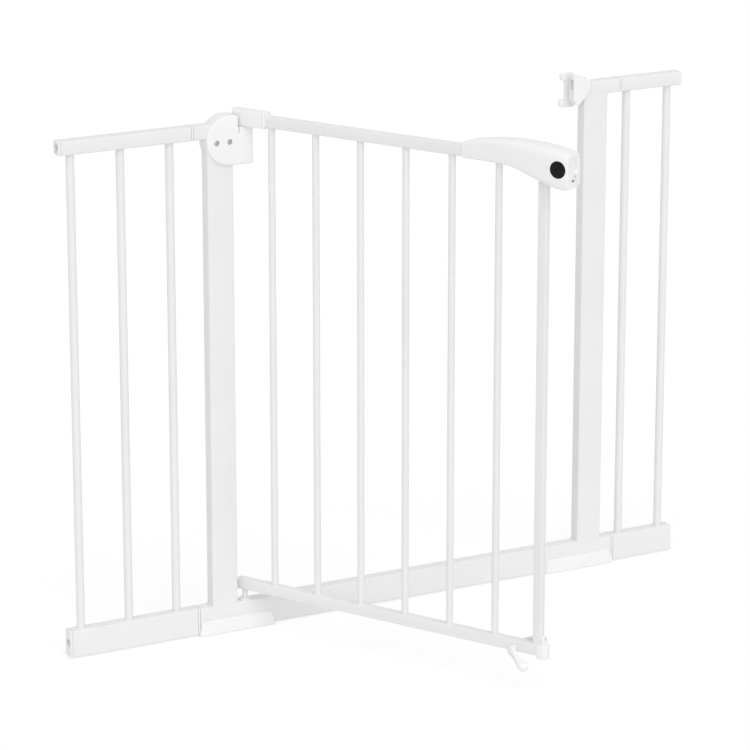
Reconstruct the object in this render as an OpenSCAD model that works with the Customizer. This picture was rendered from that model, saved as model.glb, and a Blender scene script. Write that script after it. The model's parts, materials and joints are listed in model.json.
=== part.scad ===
// Pressure-fit safety gate for a doorway or stair: a white tube frame with a hinged door,
// extension panels on both sides, a push-button latch in the handle and a foot stop.
// Origin: where the door's hinge line meets the floor. +X runs from hinge to latch, +Z is up,
// -Y is the side the door opens towards.

/* [Frame] */
// Height of the frame's top rails above the floor
frame_h = 753; // [650:1:900]
// Clear width between the two uprights
opening_w = 574; // [500:1:700]
// From the hinge line to the upright beside it
hinge_gap = 16; // [14:1:24]
// Width of the uprights and height of the floor bar
tube_w = 40; // [34:1:46]
// Depth of every frame tube
tube_d = 20; // [18:1:24]
// Height of the top rails
rail_h = 20; // [18:1:26]
// Wall of the frame tubes
tube_wall = 1.5; // [1:0.1:2.5]
// Rail between an upright and the joint with its extension
stub_l = 22; // [16:1:50]
// Length of the left extension panel
left_ext_l = 202; // [160:1:300]
// Length of the right extension panel
right_ext_l = 107; // [95:1:200]

/* [Extension bars] */
// Diameter of the extension bars
ext_bar_d = 12; // [8:1:16]
// Wall of every round bar
bar_wall = 1; // [0.8:0.1:2]
// From a panel's outer end to its first bar
bar_inset = 20; // [14:1:30]
// From the left joint to the nearest bar
left_bar_inset = 32; // [20:1:44]
// From the right joint to the nearest bar
right_bar_inset = 16; // [14:1:24]

/* [Door] */
// How far the door stands open
open_angle = 61.3; // [0:0.1:88]
// Gap from the floor bar to the door's bottom rail
door_gap = 16; // [12:1:26]
// How far the door's top rail stands above the frame
door_rise = 12; // [10:1:18]
// Height of the door's rails
door_rail_h = 16; // [14:1:20]
// Depth of the door's rails
door_rail_d = 14; // [12:1:16]
// Wall of the door's rails and post
door_wall = 1.2; // [0.8:0.1:2]
// Diameter of the door bars
door_bar_d = 10; // [8:1:12]
// Clearance between the hinge sleeve's collar and the first door bar
collar_to_bar = 1.6; // [1:0.1:12]
// From the last door bar to the middle of the end post
last_bar_gap = 70.6; // [50:0.1:80]
// Width of the end post
post_w = 14; // [10:1:18]
// Depth of the end post
post_d = 10; // [8:1:12]

/* [Hinge] */
// Diameter of the hinge pins
pin_d = 8; // [6:1:8]
// Radius of the round hinge housing
drum_r = 36; // [34:1:42]
// Depth of the hinge housing
housing_d = 28; // [27:1:34]
// Length of the sleeve on the hinge end of the top rail
arm_l = 42; // [36:1:44]
// Half the width of that sleeve
arm_half = 8.5; // [8.2:0.1:8.6]

/* [Latch] */
// Depth of the handle at its free end
handle_d = 36; // [34:1:40]
// Length of the handle
handle_l = 170; // [160:1:190]
// Running clearance between the handle's end and the catch
latch_gap = 2.5; // [1.5:0.1:4]
// How far the catch stands out from its upright
catch_out = 14.5; // [13.5:0.5:18]
// Diameter of the release button
button_d = 23.5; // [20:0.5:26]
// Travel of the release button
button_travel = 4; // [2:0.5:4]
// Travel of the latch tongue
tongue_travel = 6; // [3:0.5:6]
// How far the tongue stands out of the handle
tongue_out = 5.5; // [4:0.5:6]

/* [Fittings] */
// Thickness of the feet's soles
sole_t = 2; // [1.5:0.5:4]
// Length of the left foot
left_foot_l = 121; // [100:1:130]
// Length of the right foot
right_foot_l = 118; // [100:1:130]
// Height of the feet
foot_h = 21; // [16:1:30]
// Radius of the bores for the wall spindles
spindle_r = 5.2; // [4.2:0.1:6.2]
// Length of the foot stop's flag
flag_l = 34; // [30:1:36]

/* [Hidden] */

$fn = 64;
eps = 0.01;
run_gap = 0.3;        // gap between pieces that move past each other
pin_fit = 0.05;       // radial clearance of a pin in its bore
screw_r = 2;          // every screw's shank
screw_head_r = 3.5;
screw_head_t = 2.2;
white = "white";
soft_white = "whitesmoke";

// Frame places
left_in = -hinge_gap;                     // inner face of the left upright
left_out = left_in - tube_w;
right_in = opening_w - hinge_gap;         // inner face of the right upright
right_out = right_in + tube_w;
left_seam = left_out - stub_l;
right_seam = right_out + stub_l;
left_end = left_seam - left_ext_l;
right_end = right_seam + right_ext_l;
bar_z0 = sole_t;                          // underside of the floor bar
bar_z1 = bar_z0 + tube_w;
top_z1 = frame_h;
top_z0 = top_z1 - rail_h;
collar_w = 4;                             // visible collar of a coupling
collar_proud = 0.4;                       // how far it stands out of the tubes
coupling_l = 30;                          // coupling's reach into each tube
coupling_fit = 0.2;
socket_flange = 3;
socket_l = 25;

// Door places, in the door's own axes: x along the door, y through it
door_z0 = bar_z1 + door_gap;
door_z1 = door_z0 + door_rail_h;
door_z3 = top_z1 + door_rise;
door_z2 = door_z3 - door_rail_h;
arm_collar_l = 5;                         // collar at the end of the hinge sleeve
first_bar = arm_l + arm_collar_l + collar_to_bar + door_bar_d / 2;
catch_x = right_in - catch_out;           // the catch's face towards the door
handle_x1 = catch_x - latch_gap;          // free end of the handle
handle_x0 = handle_x1 - handle_l;
post_x1 = handle_x1 - 38;
post_x0 = post_x1 - post_w;
post_mid = post_x1 - post_w / 2;
cap_x0 = post_x1 - 6.5;                   // where the bottom rail ends and its cap starts
last_bar = post_mid - last_bar_gap;
door_bar_pitch = (last_bar - first_bar) / 5;

// Hinge places
pin_r = pin_d / 2;
bore_r = pin_r + pin_fit;
arm_z0 = door_z2 - 2;
arm_z1 = door_z3 + 5;
arm_tip_r = 11.5;                         // rounded hinge end of the arm
arm_core = 8;                             // solid part of the arm, round the pin
bush_r = 7;
bush_flange_r = 8.5;
seat_z = arm_z0 - run_gap;                // top of the bush that the arm turns on
notch_z = arm_z0 - 9;                     // underside of that bush's flange
notch_x = -arm_half - 0.5;                // edge of the front plate beside the arm
slit_w = 2.4;                             // slit that parts the plate's edge from the block
slit_h = 8;
slit_deep = 4.5;
drum_x = left_in - 6;
drum_z = top_z1 - 24.4;
block_x1 = bush_flange_r + 2.9;
plug_l = 22;
plug_flange = 2;
plug_x0 = -10.8;
floor_bush_r = 6;
floor_flange_r = 9;
floor_flange_t = 1.5;
pin_depth = 9;                            // the bottom pin's reach below the floor bar's top
bush_depth = 11;

// Catch places
catch_front = -14;
catch_back = handle_d / 2 + 0.4;
pocket_y0 = -1.5;
pocket_y1 = 8;
pocket_z0 = door_z3 - 24;
pocket_z1 = pocket_z0 + 15;
cheek_w = 14;

// Handle's outline
crown_h = 17.6;                           // rise of its crown above the rail
droop_h = 40;                             // fall of its grip below the rail's top
grip_l = 54;                              // length of the deep grip round the latch bay
bay_drop = 33;                            // fall of the latch bay below the rail's top
bay_rise = 3;                             // rise of the latch bay above the rail

// Latch places
tongue_y0 = pocket_y0 + 1;
tongue_w = 7;
tongue_z0 = pocket_z0 + 4;
tongue_h = 7;
carriage_w = 11;                          // wide rear part of the tongue
carriage_h = 13;
carriage_x1 = handle_x1 - 2.8;
rib_x1 = post_x1 + 2;                     // wall that backs the spring
carriage_x0 = rib_x1 + tongue_travel + 0.5;
spring_y = tongue_y0 + carriage_w / 2;
spring_z = tongue_z0 + tongue_h / 2;
spring_r = 2.5;
wire_r = 0.4;
bay_y = 13.5;
button_x = handle_x1 - button_d / 2 - 2.9;  // clear of the end plate
button_z = door_z3 - 12.3;
button_y0 = -handle_d / 2 - 1.5;          // face of the button
button_t = 5.5;
plunger_r = 4;
cam_slope = button_travel / tongue_travel;
cam_x = button_x - 6.3;                   // where the tongue's wedge starts
cam_y = -9.5;

// Foot stop places
stop_x = post_mid - 36;
stop_drop = 4.5;                           // the stop's pin passes below the rail's middle
stop_z = (door_z0 + door_z1) / 2 - stop_drop;
stop_pin_r = 3;
hub_r = 5.5;
flag_half = 7.5;
flag_t = 2.8;
flag_slant = 3;                            // its end's corners are cut off
flag_angle = 24;
flag_y = tube_d / 2 + 0.6;                // the flag passes behind the floor bar

// ---- helpers ----

// A box from its low corner to its high corner
module box(low, high) {
    translate(low) cube([high[0] - low[0], high[1] - low[1], high[2] - low[2]]);
}

// A 2D outline in x and z, extruded from y0 to y1
module side_profile(y0, y1) {
    translate([0, y1, 0]) rotate([90, 0, 0]) linear_extrude(y1 - y0) children();
}

// A round rod along y
module rod_y(r, x, z, y0, y1) {
    translate([x, y1, z]) rotate([90, 0, 0]) cylinder(r = r, h = y1 - y0);
}

// A round rod along x
module rod_x(r, y, z, x0, x1) {
    translate([x0, y, z]) rotate([0, 90, 0]) cylinder(r = r, h = x1 - x0);
}

// Rectangular tube along x
module tube_x(x0, x1, depth, z0, z1, wall) {
    difference() {
        box([x0, -depth / 2, z0], [x1, depth / 2, z1]);
        box([x0 - 1, wall - depth / 2, z0 + wall], [x1 + 1, depth / 2 - wall, z1 - wall]);
    }
}

// Round tube standing on z0
module bar(x, d, z0, z1) {
    translate([x, 0, z0]) difference() {
        cylinder(d = d, h = z1 - z0);
        translate([0, 0, -1]) cylinder(d = d - 2 * bar_wall, h = z1 - z0 + 2);
    }
}

// The door's own axes, turned to where the door stands
module on_door() {
    rotate([0, 0, -open_angle]) children();
}

// ---- frame ----

// Floor bar that joins the two uprights
module threshold_bar() {
    color(white) difference() {
        tube_x(left_seam + collar_w / 2, right_seam - collar_w / 2, tube_d, bar_z0, bar_z1, tube_wall);
        translate([0, 0, bar_z1 - 5]) cylinder(r = floor_bush_r, h = 10);
    }
}

// Upright tube standing on the floor bar, with screw holes from the front, y = drill_y0, to its back
module upright(x0, screw_x, screw_z, drill_y0) {
    color(white) difference() {
        box([x0, -tube_d / 2, bar_z1], [x0 + tube_w, tube_d / 2, top_z0]);
        box([x0 + tube_wall, tube_wall - tube_d / 2, bar_z1 - 1],
            [x0 + tube_w - tube_wall, tube_d / 2 - tube_wall, top_z0 + 1]);
        for (x = screw_x) rod_y(screw_r + pin_fit, x, screw_z, drill_y0, tube_d);
    }
}

hinge_screw_x = [left_in - 26.9, left_in - 6.7];
hinge_screw_z = drum_z - 1.6;
catch_screw_x = right_in + 7;
catch_screw_z = [top_z0 - 6, top_z0 + 10];

module upright_left() upright(left_out, hinge_screw_x, hinge_screw_z, -tube_d);
module upright_right() upright(right_in, [catch_screw_x], catch_screw_z[0], 0);

// Short top rail over the left upright
module top_stub_left() {
    color(white) tube_x(left_seam + collar_w / 2, left_in, tube_d, top_z0, top_z1, tube_wall);
}

// Short top rail over the right upright, with the catch's screw hole
module top_stub_right() {
    color(white) difference() {
        tube_x(right_in, right_seam - collar_w / 2, tube_d, top_z0, top_z1, tube_wall);
        rod_y(screw_r + pin_fit, catch_screw_x, catch_screw_z[1], 0, tube_d);
    }
}

// ---- extension panels ----

module ext_rail(x0, x1, z0, z1) {
    color(white) tube_x(x0, x1, tube_d, z0, z1, tube_wall);
}

left_rail_x1 = left_seam - collar_w / 2;
right_rail_x0 = right_seam + collar_w / 2;

module left_bottom_rail() ext_rail(left_end + socket_flange, left_rail_x1, bar_z0, bar_z1);
module left_top_rail() ext_rail(left_end + socket_flange, left_rail_x1, top_z0, top_z1);
module right_bottom_rail() ext_rail(right_rail_x0, right_end - socket_flange, bar_z0, bar_z1);
module right_top_rail() ext_rail(right_rail_x0, right_end - socket_flange, top_z0, top_z1);

module ext_bar(x) {
    color(white) bar(x, ext_bar_d, bar_z1, top_z0);
}

left_bar_x0 = left_end + bar_inset;
left_bar_pitch = (left_seam - left_bar_inset - left_bar_x0) / 2;

module left_bar_1() ext_bar(left_bar_x0);
module left_bar_2() ext_bar(left_bar_x0 + left_bar_pitch);
module left_bar_3() ext_bar(left_bar_x0 + 2 * left_bar_pitch);
module right_bar_1() ext_bar(right_seam + right_bar_inset);
module right_bar_2() ext_bar(right_end - bar_inset);

// End socket that takes a wall spindle: a flange over the tube's end and a plug inside it
module socket(x, side, z0, z1) {
    mid_z = (z0 + z1) / 2;
    inset = tube_wall + coupling_fit;
    color(soft_white) translate([x, 0, 0]) mirror([side, 0, 0]) difference() {
        union() {
            box([-socket_flange, -tube_d / 2, z0], [0, tube_d / 2, z1]);
            box([-socket_l, inset - tube_d / 2, z0 + inset], [-1, tube_d / 2 - inset, z1 - inset]);
        }
        rod_x(spindle_r, 0, mid_z, -socket_l - 1, 1);
    }
}

module socket_left_bottom() socket(left_end, 1, bar_z0, bar_z1);
module socket_left_top() socket(left_end, 1, top_z0, top_z1);
module socket_right_bottom() socket(right_end, 0, bar_z0, bar_z1);
module socket_right_top() socket(right_end, 0, top_z0, top_z1);

// Coupling between a panel's rail and the frame: a plug in each tube and a collar between them
module coupling(x, z0, z1) {
    inset = tube_wall + coupling_fit;
    half = collar_w / 2;
    color(soft_white) union() {
        box([x - half, -tube_d / 2 - collar_proud, z0 - collar_proud],
            [x + half, tube_d / 2 + collar_proud, z1 + collar_proud]);
        difference() {
            box([x - coupling_l, inset - tube_d / 2, z0 + inset],
                [x + coupling_l, tube_d / 2 - inset, z1 - inset]);
            box([x - coupling_l - 1, inset + 2 - tube_d / 2, z0 + inset + 2],
                [x - half - 1, tube_d / 2 - inset - 2, z1 - inset - 2]);
        }
    }
}

module coupling_left_bottom() coupling(left_seam, bar_z0, bar_z1);
module coupling_left_top() coupling(left_seam, top_z0, top_z1);
module coupling_right_bottom() coupling(right_seam, bar_z0, bar_z1);
module coupling_right_top() coupling(right_seam, top_z0, top_z1);

// ---- feet ----

// Shoe under the floor bar: a sole with two side walls that slope outwards, and slanted ends,
// relieved round the collar of the coupling at the seam
module foot(x0, x1, seam) {
    half = tube_d / 2;
    slant = 5;
    relief = collar_proud + 0.2;
    color(soft_white) difference() {
        intersection() {
            translate([x0, 0, 0]) rotate([90, 0, 90]) linear_extrude(x1 - x0)
                polygon([[-half - 6, 0], [half + 6, 0], [half + 6, 4], [half + 3, foot_h],
                         [-half - 3, foot_h], [-half - 6, 4]]);
            side_profile(-tube_d, tube_d)
                polygon([[x0, 0], [x1, 0], [x1, 4], [x1 - slant, foot_h], [x0 + slant, foot_h], [x0, 4]]);
        }
        box([x0 - 1, -half, sole_t], [x1 + 1, half, foot_h + 1]);
        box([seam - collar_w / 2 - 0.2, -half - relief, sole_t - relief],
            [seam + collar_w / 2 + 0.2, half + relief, foot_h + 1]);
    }
}

module foot_left() foot(left_seam - 1, left_seam - 1 + left_foot_l, left_seam);
module foot_right() foot(right_seam - 1 - right_foot_l, right_seam - 1, right_seam);

// ---- hinge housing ----

// Outline of the housing: a drum, squared off below the arm and beside the front plate's edge
module housing_outline() {
    corner = 4;
    bottom = drum_z - drum_r;
    translate([drum_x, drum_z]) circle(r = drum_r, $fn = 96);
    translate([drum_x, bottom]) square([block_x1 - corner - drum_x, seat_z - bottom]);
    translate([drum_x, bottom + corner]) square([block_x1 - drum_x, seat_z - bottom - corner]);
    translate([block_x1 - corner, bottom + corner]) circle(r = corner);
    translate([drum_x, drum_z]) square([notch_x - drum_x, drum_r]);
}

// One shell of the housing, from y0 to y1, hollowed for the tubes, the arm and the bush
module housing_shell(y0, y1) {
    tall = drum_r * 2;
    color(soft_white) difference() {
        side_profile(y0, y1) housing_outline();
        box([left_out, -tube_d / 2, drum_z - tall], [left_in, tube_d / 2, top_z0 + 1]);
        box([left_seam, -tube_d / 2, top_z0], [left_in, tube_d / 2, top_z1]);
        translate([0, 0, seat_z]) cylinder(r = arm_tip_r + 1, h = tall);
        box([notch_x, -tall, seat_z], [block_x1 + tall, tall, seat_z + tall]);
        box([notch_x, -tall, seat_z - slit_h], [notch_x + slit_w, slit_deep - housing_d / 2, seat_z + 1]);
        translate([0, 0, notch_z]) cylinder(r = bush_flange_r + pin_fit, h = tall);
        translate([0, 0, notch_z - 28]) cylinder(r = bush_r, h = 40);
        for (x = hinge_screw_x) rod_y(screw_r + pin_fit, x, hinge_screw_z, -tall, housing_d / 2 - 1.5);
        for (x = hinge_screw_x)
            rod_y(screw_head_r + 0.4, x, hinge_screw_z, -tall, screw_head_t + 0.4 - housing_d / 2);
    }
}

module hinge_housing_front() housing_shell(-housing_d / 2, 0);
module hinge_housing_back() housing_shell(0, housing_d / 2);

// Two screws that clamp the shells through the upright
module hinge_screws() {
    seat = screw_head_t + 0.4 - housing_d / 2;
    color("dimgray") for (x = hinge_screw_x) {
        rod_y(screw_r, x, hinge_screw_z, seat - eps, housing_d / 2 - 2);
        difference() {
            rod_y(screw_head_r, x, hinge_screw_z, seat - screw_head_t, seat);
            box([x - 2.2, -housing_d, hinge_screw_z - 0.4], [x + 2.2, seat - 1.2, hinge_screw_z + 0.4]);
            box([x - 0.4, -housing_d, hinge_screw_z - 2.2], [x + 0.4, seat - 1.2, hinge_screw_z + 2.2]);
        }
    }
}

// Bush that carries the arm and guides the top pin
module top_hinge_bush() {
    color(soft_white) difference() {
        union() {
            translate([0, 0, notch_z - 26]) cylinder(r = bush_r, h = 27);
            translate([0, 0, notch_z]) cylinder(r = bush_flange_r, h = seat_z - notch_z);
        }
        translate([0, 0, notch_z - 27]) cylinder(r = bore_r, h = 40);
    }
}

// Bush in the floor bar for the bottom pin
module bottom_hinge_bush() {
    color(soft_white) difference() {
        union() {
            translate([0, 0, bar_z1 - bush_depth]) cylinder(r = floor_bush_r, h = bush_depth + eps);
            translate([0, 0, bar_z1]) cylinder(r = floor_flange_r, h = floor_flange_t);
        }
        translate([0, 0, bar_z1 - bush_depth - 1]) cylinder(r = bore_r, h = bush_depth + 4);
    }
}

// ---- catch ----

// Shield outline of the catch: a sloping top, a straight side and a pointed foot
module catch_outline() {
    polygon([
        [catch_x, top_z1 + 13], [right_in + 8, top_z1 + 5], [right_in + 8, top_z1 - 9],
        [catch_x + 5.5, top_z1 - 35.5], [catch_x, top_z1 - 26]
    ]);
}

// Catch on the right upright: a ramp that pushes the tongue in, and the pocket behind the ramp
module catch_block() {
    inset = tube_wall + coupling_fit;
    color(soft_white) difference() {
        union() {
            side_profile(catch_front, catch_back) catch_outline();
            box([right_in - 7, tube_d / 2, top_z0 - 11], [right_in + cheek_w, tube_d / 2 + 4, top_z1 + 4]);
        }
        box([right_in, -tube_d / 2, 0], [right_seam, tube_d / 2, top_z1]);
        box([right_in + cheek_w, tube_d / 2, 0], [right_seam, handle_d, frame_h * 2]);
        box([right_in, tube_d / 2 + 4, 0], [right_seam, handle_d, frame_h * 2]);
        translate([0, 0, top_z0 - 30]) linear_extrude(100)
            polygon([[catch_x - 1, pocket_y0 - 1.5], [catch_x, pocket_y0 - 1.5],
                     [right_in + 2, catch_front], [right_in + 2, catch_front - 1],
                     [catch_x - 1, catch_front - 1]]);
        box([catch_x - 1, pocket_y0, pocket_z0], [catch_x + 7.5, pocket_y1, pocket_z1]);
        box([catch_x - 1, pocket_y1 + 2, 0], [catch_x + 7.5, handle_d, frame_h * 2]);
        for (z = catch_screw_z) rod_y(screw_r + pin_fit, catch_screw_x, z, 0, handle_d);
    }
    // tenon inside the open end of the top rail
    color(soft_white) box([right_in - eps, inset - tube_d / 2, top_z0 + inset],
                          [right_in + 5, tube_d / 2 - inset, top_z1 - inset]);
}

// Back stop behind the handle: an upright web with a rounded arm above and below
module catch_striker() {
    web_x = catch_x - 2.5;
    back_x = right_in - 0.5;
    color(soft_white) union() {
        box([web_x, catch_back, top_z1 - 34], [back_x, catch_back + 4, top_z1 + 4]);
        translate([catch_x - 3.5, 0, top_z1 + 4.5]) striker_arm(5.5, back_x - catch_x + 3.5);
        translate([catch_x - 5, 0, top_z1 - 35]) striker_arm(6, back_x - catch_x + 5);
    }
}

// One arm of the back stop, with a round end
module striker_arm(r, l) {
    rod_y(r, 0, 0, catch_back, catch_back + 6.5);
    box([0, catch_back, -r], [l, catch_back + 6.5, r]);
}

// Two screws through the catch's rear cheek
module catch_screws() {
    seat = tube_d / 2 + 4;
    color("dimgray") for (z = catch_screw_z) {
        rod_y(screw_r, catch_screw_x, z, 1, seat + eps);
        difference() {
            rod_y(screw_head_r, catch_screw_x, z, seat, seat + screw_head_t);
            box([catch_screw_x - 2.2, seat + 1.2, z - 0.4], [catch_screw_x + 2.2, seat + 5, z + 0.4]);
            box([catch_screw_x - 0.4, seat + 1.2, z - 2.2], [catch_screw_x + 0.4, seat + 5, z + 2.2]);
        }
    }
}

// ---- door ----

// Top rail, from the arm's solid core to the handle
module door_top_rail() {
    color(white) on_door() tube_x(arm_core, post_x1, door_rail_d, door_z2, door_z3, door_wall);
}

// Bottom rail, with the holes for the bottom pin and the foot stop's pin
module door_bottom_rail() {
    color(white) on_door() difference() {
        tube_x(plug_x0 + plug_flange, cap_x0, door_rail_d, door_z0, door_z1, door_wall);
        translate([0, 0, door_z0 - 1]) cylinder(r = bore_r, h = door_wall + 2);
        rod_y(stop_pin_r + pin_fit, stop_x, stop_z, -door_rail_d, door_rail_d);
    }
}

// Flat tube at the free end of the door
module door_end_post() {
    color(white) on_door() difference() {
        box([post_x0, -post_d / 2, door_z1], [post_x1, post_d / 2, door_z2]);
        box([post_x0 + door_wall, door_wall - post_d / 2, door_z1 - 1],
            [post_x1 - door_wall, post_d / 2 - door_wall, door_z2 + 1]);
    }
}

module door_bar(n) {
    color(white) on_door() bar(first_bar + (n - 1) * door_bar_pitch, door_bar_d, door_z1, door_z2);
}

module door_bar_1() door_bar(1);
module door_bar_2() door_bar(2);
module door_bar_3() door_bar(3);
module door_bar_4() door_bar(4);
module door_bar_5() door_bar(5);
module door_bar_6() door_bar(6);

// Sleeve on the rail's hinge end, solid round the pin and hollow round the rail
module hinge_arm() {
    color(soft_white) on_door() difference() {
        union() {
            intersection() {
                box([-arm_tip_r, -arm_half, arm_z0], [arm_core, arm_half, arm_z1]);
                translate([0, 0, arm_z0 - 1]) cylinder(r = arm_tip_r, h = arm_z1 - arm_z0 + 2);
            }
            box([0, -arm_half, arm_z0], [arm_l, arm_half, arm_z1]);
        }
        box([arm_core, -door_rail_d / 2, door_z2], [arm_l + 1, door_rail_d / 2, door_z3]);
        translate([0, 0, arm_z0 - 1]) cylinder(r = pin_r, h = door_z3 - arm_z0 + 2);
    }
}

// Collar that closes the sleeve round the rail
module arm_collar() {
    color(soft_white) on_door() difference() {
        box([arm_l, -arm_half - 0.5, arm_z0 - 0.5],
            [arm_l + arm_collar_l, arm_half + 0.5, arm_z1 - 0.5]);
        box([arm_l - 1, -door_rail_d / 2, door_z2],
            [arm_l + arm_collar_l + 1, door_rail_d / 2, door_z3]);
    }
}

// Pin fixed in the arm, turning in the housing's bush
module top_hinge_pin() {
    color("silver") on_door() translate([0, 0, notch_z - 24])
        cylinder(r = pin_r, h = door_z3 + 1 - notch_z + 24);
}

// Pin fixed in the bottom rail's plug, turning in the floor bar's bush
module bottom_hinge_pin() {
    color(white) on_door() translate([0, 0, bar_z1 - pin_depth])
        cylinder(r = pin_r, h = door_z1 - 4 - bar_z1 + pin_depth);
}

// Plug in the hinge end of the bottom rail, bored for the pin
module hinge_end_plug() {
    inset = door_wall + 0.1;
    half = door_rail_d / 2;
    color(soft_white) on_door() difference() {
        union() {
            box([plug_x0, -half, door_z0], [plug_x0 + plug_flange, half, door_z1]);
            box([plug_x0 + 1, inset - half, door_z0 + inset],
                [plug_x0 + plug_l, half - inset, door_z1 - inset]);
        }
        translate([0, 0, door_z0 - 1]) cylinder(r = pin_r, h = door_rail_h - 3);
        rod_x(3.5, 0, (door_z0 + door_z1) / 2, plug_x0 - 1, plug_x0 + 3);
    }
}

// Cap on the free end of the bottom rail: a rounded nose, and an ear with a hole behind it
module free_end_cap() {
    inset = door_wall + 0.1;
    half = door_rail_d / 2;
    nose_r = 8;
    ear_r = 5.5;
    color(soft_white) on_door() difference() {
        union() {
            box([cap_x0, -nose_r, door_z0 - 4], [post_x1 + 1.6, nose_r, door_z1]);
            translate([post_x1 + 1.6, 0, door_z0 - 4]) cylinder(r = nose_r, h = door_z1 - door_z0 + 4);
            box([cap_x0 - 15, inset - half, door_z0 + inset],
                [cap_x0 + 1, half - inset, door_z1 - inset]);
            rod_x(ear_r, 0, door_z1 + 7.5, post_x1 + 0.3, post_x1 + 4.3);
            box([post_x1 + 0.3, -ear_r, door_z1 - 1], [post_x1 + 4.3, ear_r, door_z1 + 7.5]);
        }
        rod_x(2.2, 0, door_z1 + 8.5, post_x1, post_x1 + 6);
    }
}

// ---- handle ----

// Side view of the handle: rail height at the tip, a long crown and a drooping grip
module handle_side() {
    polygon([
        [handle_x0, door_z2 - 1.2], [handle_x0, door_z3 + crown_h * 0.27],
        [handle_x1 - handle_l * 0.91, door_z3 + crown_h * 0.52],
        [handle_x1 - handle_l * 0.818, door_z3 + crown_h * 0.72],
        [handle_x1 - handle_l * 0.659, door_z3 + crown_h * 0.94],
        [handle_x1 - handle_l * 0.529, door_z3 + crown_h],
        [handle_x1 - grip_l, door_z3 + crown_h * 0.97],
        [handle_x1 - grip_l * 0.444, door_z3 + crown_h * 0.824],
        [handle_x1 - grip_l * 0.148, door_z3 + crown_h * 0.625],
        [handle_x1, door_z3 + crown_h * 0.426],
        [handle_x1, door_z3 - droop_h * 0.95], [handle_x1 - grip_l * 0.111, door_z3 - droop_h],
        [handle_x1 - grip_l * 0.296, door_z3 - droop_h * 0.9875],
        [handle_x1 - grip_l, door_z3 - droop_h * 0.725],
        [handle_x1 - handle_l * 0.435, door_z3 - droop_h * 0.575],
        [handle_x1 - handle_l * 0.565, door_z2 - 1.2]
    ]);
}

// Plan view of the handle: it widens from the rail to the grip
module handle_plan() {
    tip = door_rail_d / 2 + 2;
    full = handle_d / 2;
    grow = full - tip;
    swell = handle_x1 - handle_l * 0.818;
    middle = handle_x1 - handle_l * 0.565;
    grip = handle_x1 - handle_l * 0.353;
    flank = handle_x1 - handle_l * 0.188;
    polygon([
        [handle_x0, -tip], [swell, -tip - grow * 0.2], [middle, -tip - grow * 0.6],
        [grip, -tip - grow * 0.9], [flank, -full], [handle_x1 - 4, -full],
        [handle_x1, -full + 2], [handle_x1, full - 2], [handle_x1 - 4, full], [flank, full],
        [grip, tip + grow * 0.9], [middle, tip + grow * 0.6], [swell, tip + grow * 0.2], [handle_x0, tip]
    ]);
}

handle_screw_x = [handle_x1 - handle_l * 0.71, handle_x1 - handle_l * 0.5];
handle_screw_z = door_z3 + 4.8;
handle_screw_seat = handle_d / 2 - 9.5;   // underside of the screws' heads

// One shell of the handle, from y0 to y1, hollowed for the rail, the post and the latch
module handle_shell(y0, y1) {
    reach = handle_d;
    color(soft_white) on_door() difference() {
        intersection() {
            side_profile(y0, y1) handle_side();
            translate([0, 0, door_z2 - 2 * droop_h]) linear_extrude(4 * droop_h) handle_plan();
        }
        box([0, -door_rail_d / 2, door_z2], [post_x1, door_rail_d / 2, door_z3]);
        box([post_x0, -post_d / 2, 0], [post_x1, post_d / 2, door_z2 + 1]);
        translate([last_bar, 0, 0]) cylinder(r = door_bar_d / 2 + 0.1, h = door_z2 + 1);
        box([rib_x1, -bay_y, door_z3 - bay_drop], [handle_x1 + 1, bay_y, door_z3 + bay_rise]);
        rod_y(button_d / 2 + 0.08, button_x, button_z, -reach, -bay_y + 1);
        for (x = handle_screw_x) rod_y(screw_r + pin_fit, x, handle_screw_z, -handle_d / 6, reach);
        for (x = handle_screw_x) rod_y(screw_head_r + 0.4, x, handle_screw_z, handle_screw_seat, reach);
    }
}

module handle_front() handle_shell(-handle_d / 2, 0);
module handle_back() handle_shell(0, handle_d / 2);

// Plate that closes the latch bay, slotted for the tongue
module handle_end_plate() {
    x0 = handle_x1 - 2.5;
    mid_y = tongue_y0 + tongue_w / 2;
    color(soft_white) on_door() difference() {
        box([x0, -bay_y, door_z3 - bay_drop], [handle_x1 - 0.7, bay_y, door_z3 + bay_rise]);
        box([x0 - 1, tongue_y0 - run_gap, tongue_z0 - run_gap],
            [handle_x1, tongue_y0 + tongue_w + run_gap, tongue_z0 + tongue_h + run_gap]);
        box([x0 - 1, mid_y - 3, tongue_z0 - 5], [handle_x1, mid_y + 3, tongue_z0 - 3]);
        rod_x(1.8, mid_y - 1, tongue_z0 - 10, x0 - 1, handle_x1);
    }
}

// Two screws that join the handle's shells, above the rail
module handle_screws() {
    seat = handle_screw_seat;
    color("dimgray") on_door() for (x = handle_screw_x) {
        rod_y(screw_r, x, handle_screw_z, 1 - handle_d / 6, seat + eps);
        rod_y(screw_head_r, x, handle_screw_z, seat, seat + screw_head_t);
    }
}

// ---- latch ----

spring_x0 = rib_x1 + 0.1;
spring_x1 = carriage_x1 - 10;
spring_turns = 7;
spring_steps = 12;                        // points in one turn

// A point on the spring's wire: s counts along the coil, k round the wire
function coil_point(s, k) =
    let (turn = 360 * s / spring_steps,
         side = 60 * k,
         ring = spring_r + wire_r * cos(side),
         along = s * (spring_x1 - spring_x0 - 2 * wire_r) / (spring_turns * spring_steps))
    [spring_x0 + wire_r + along + wire_r * sin(side),
     spring_y + ring * cos(turn),
     spring_z + ring * sin(turn)];

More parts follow.
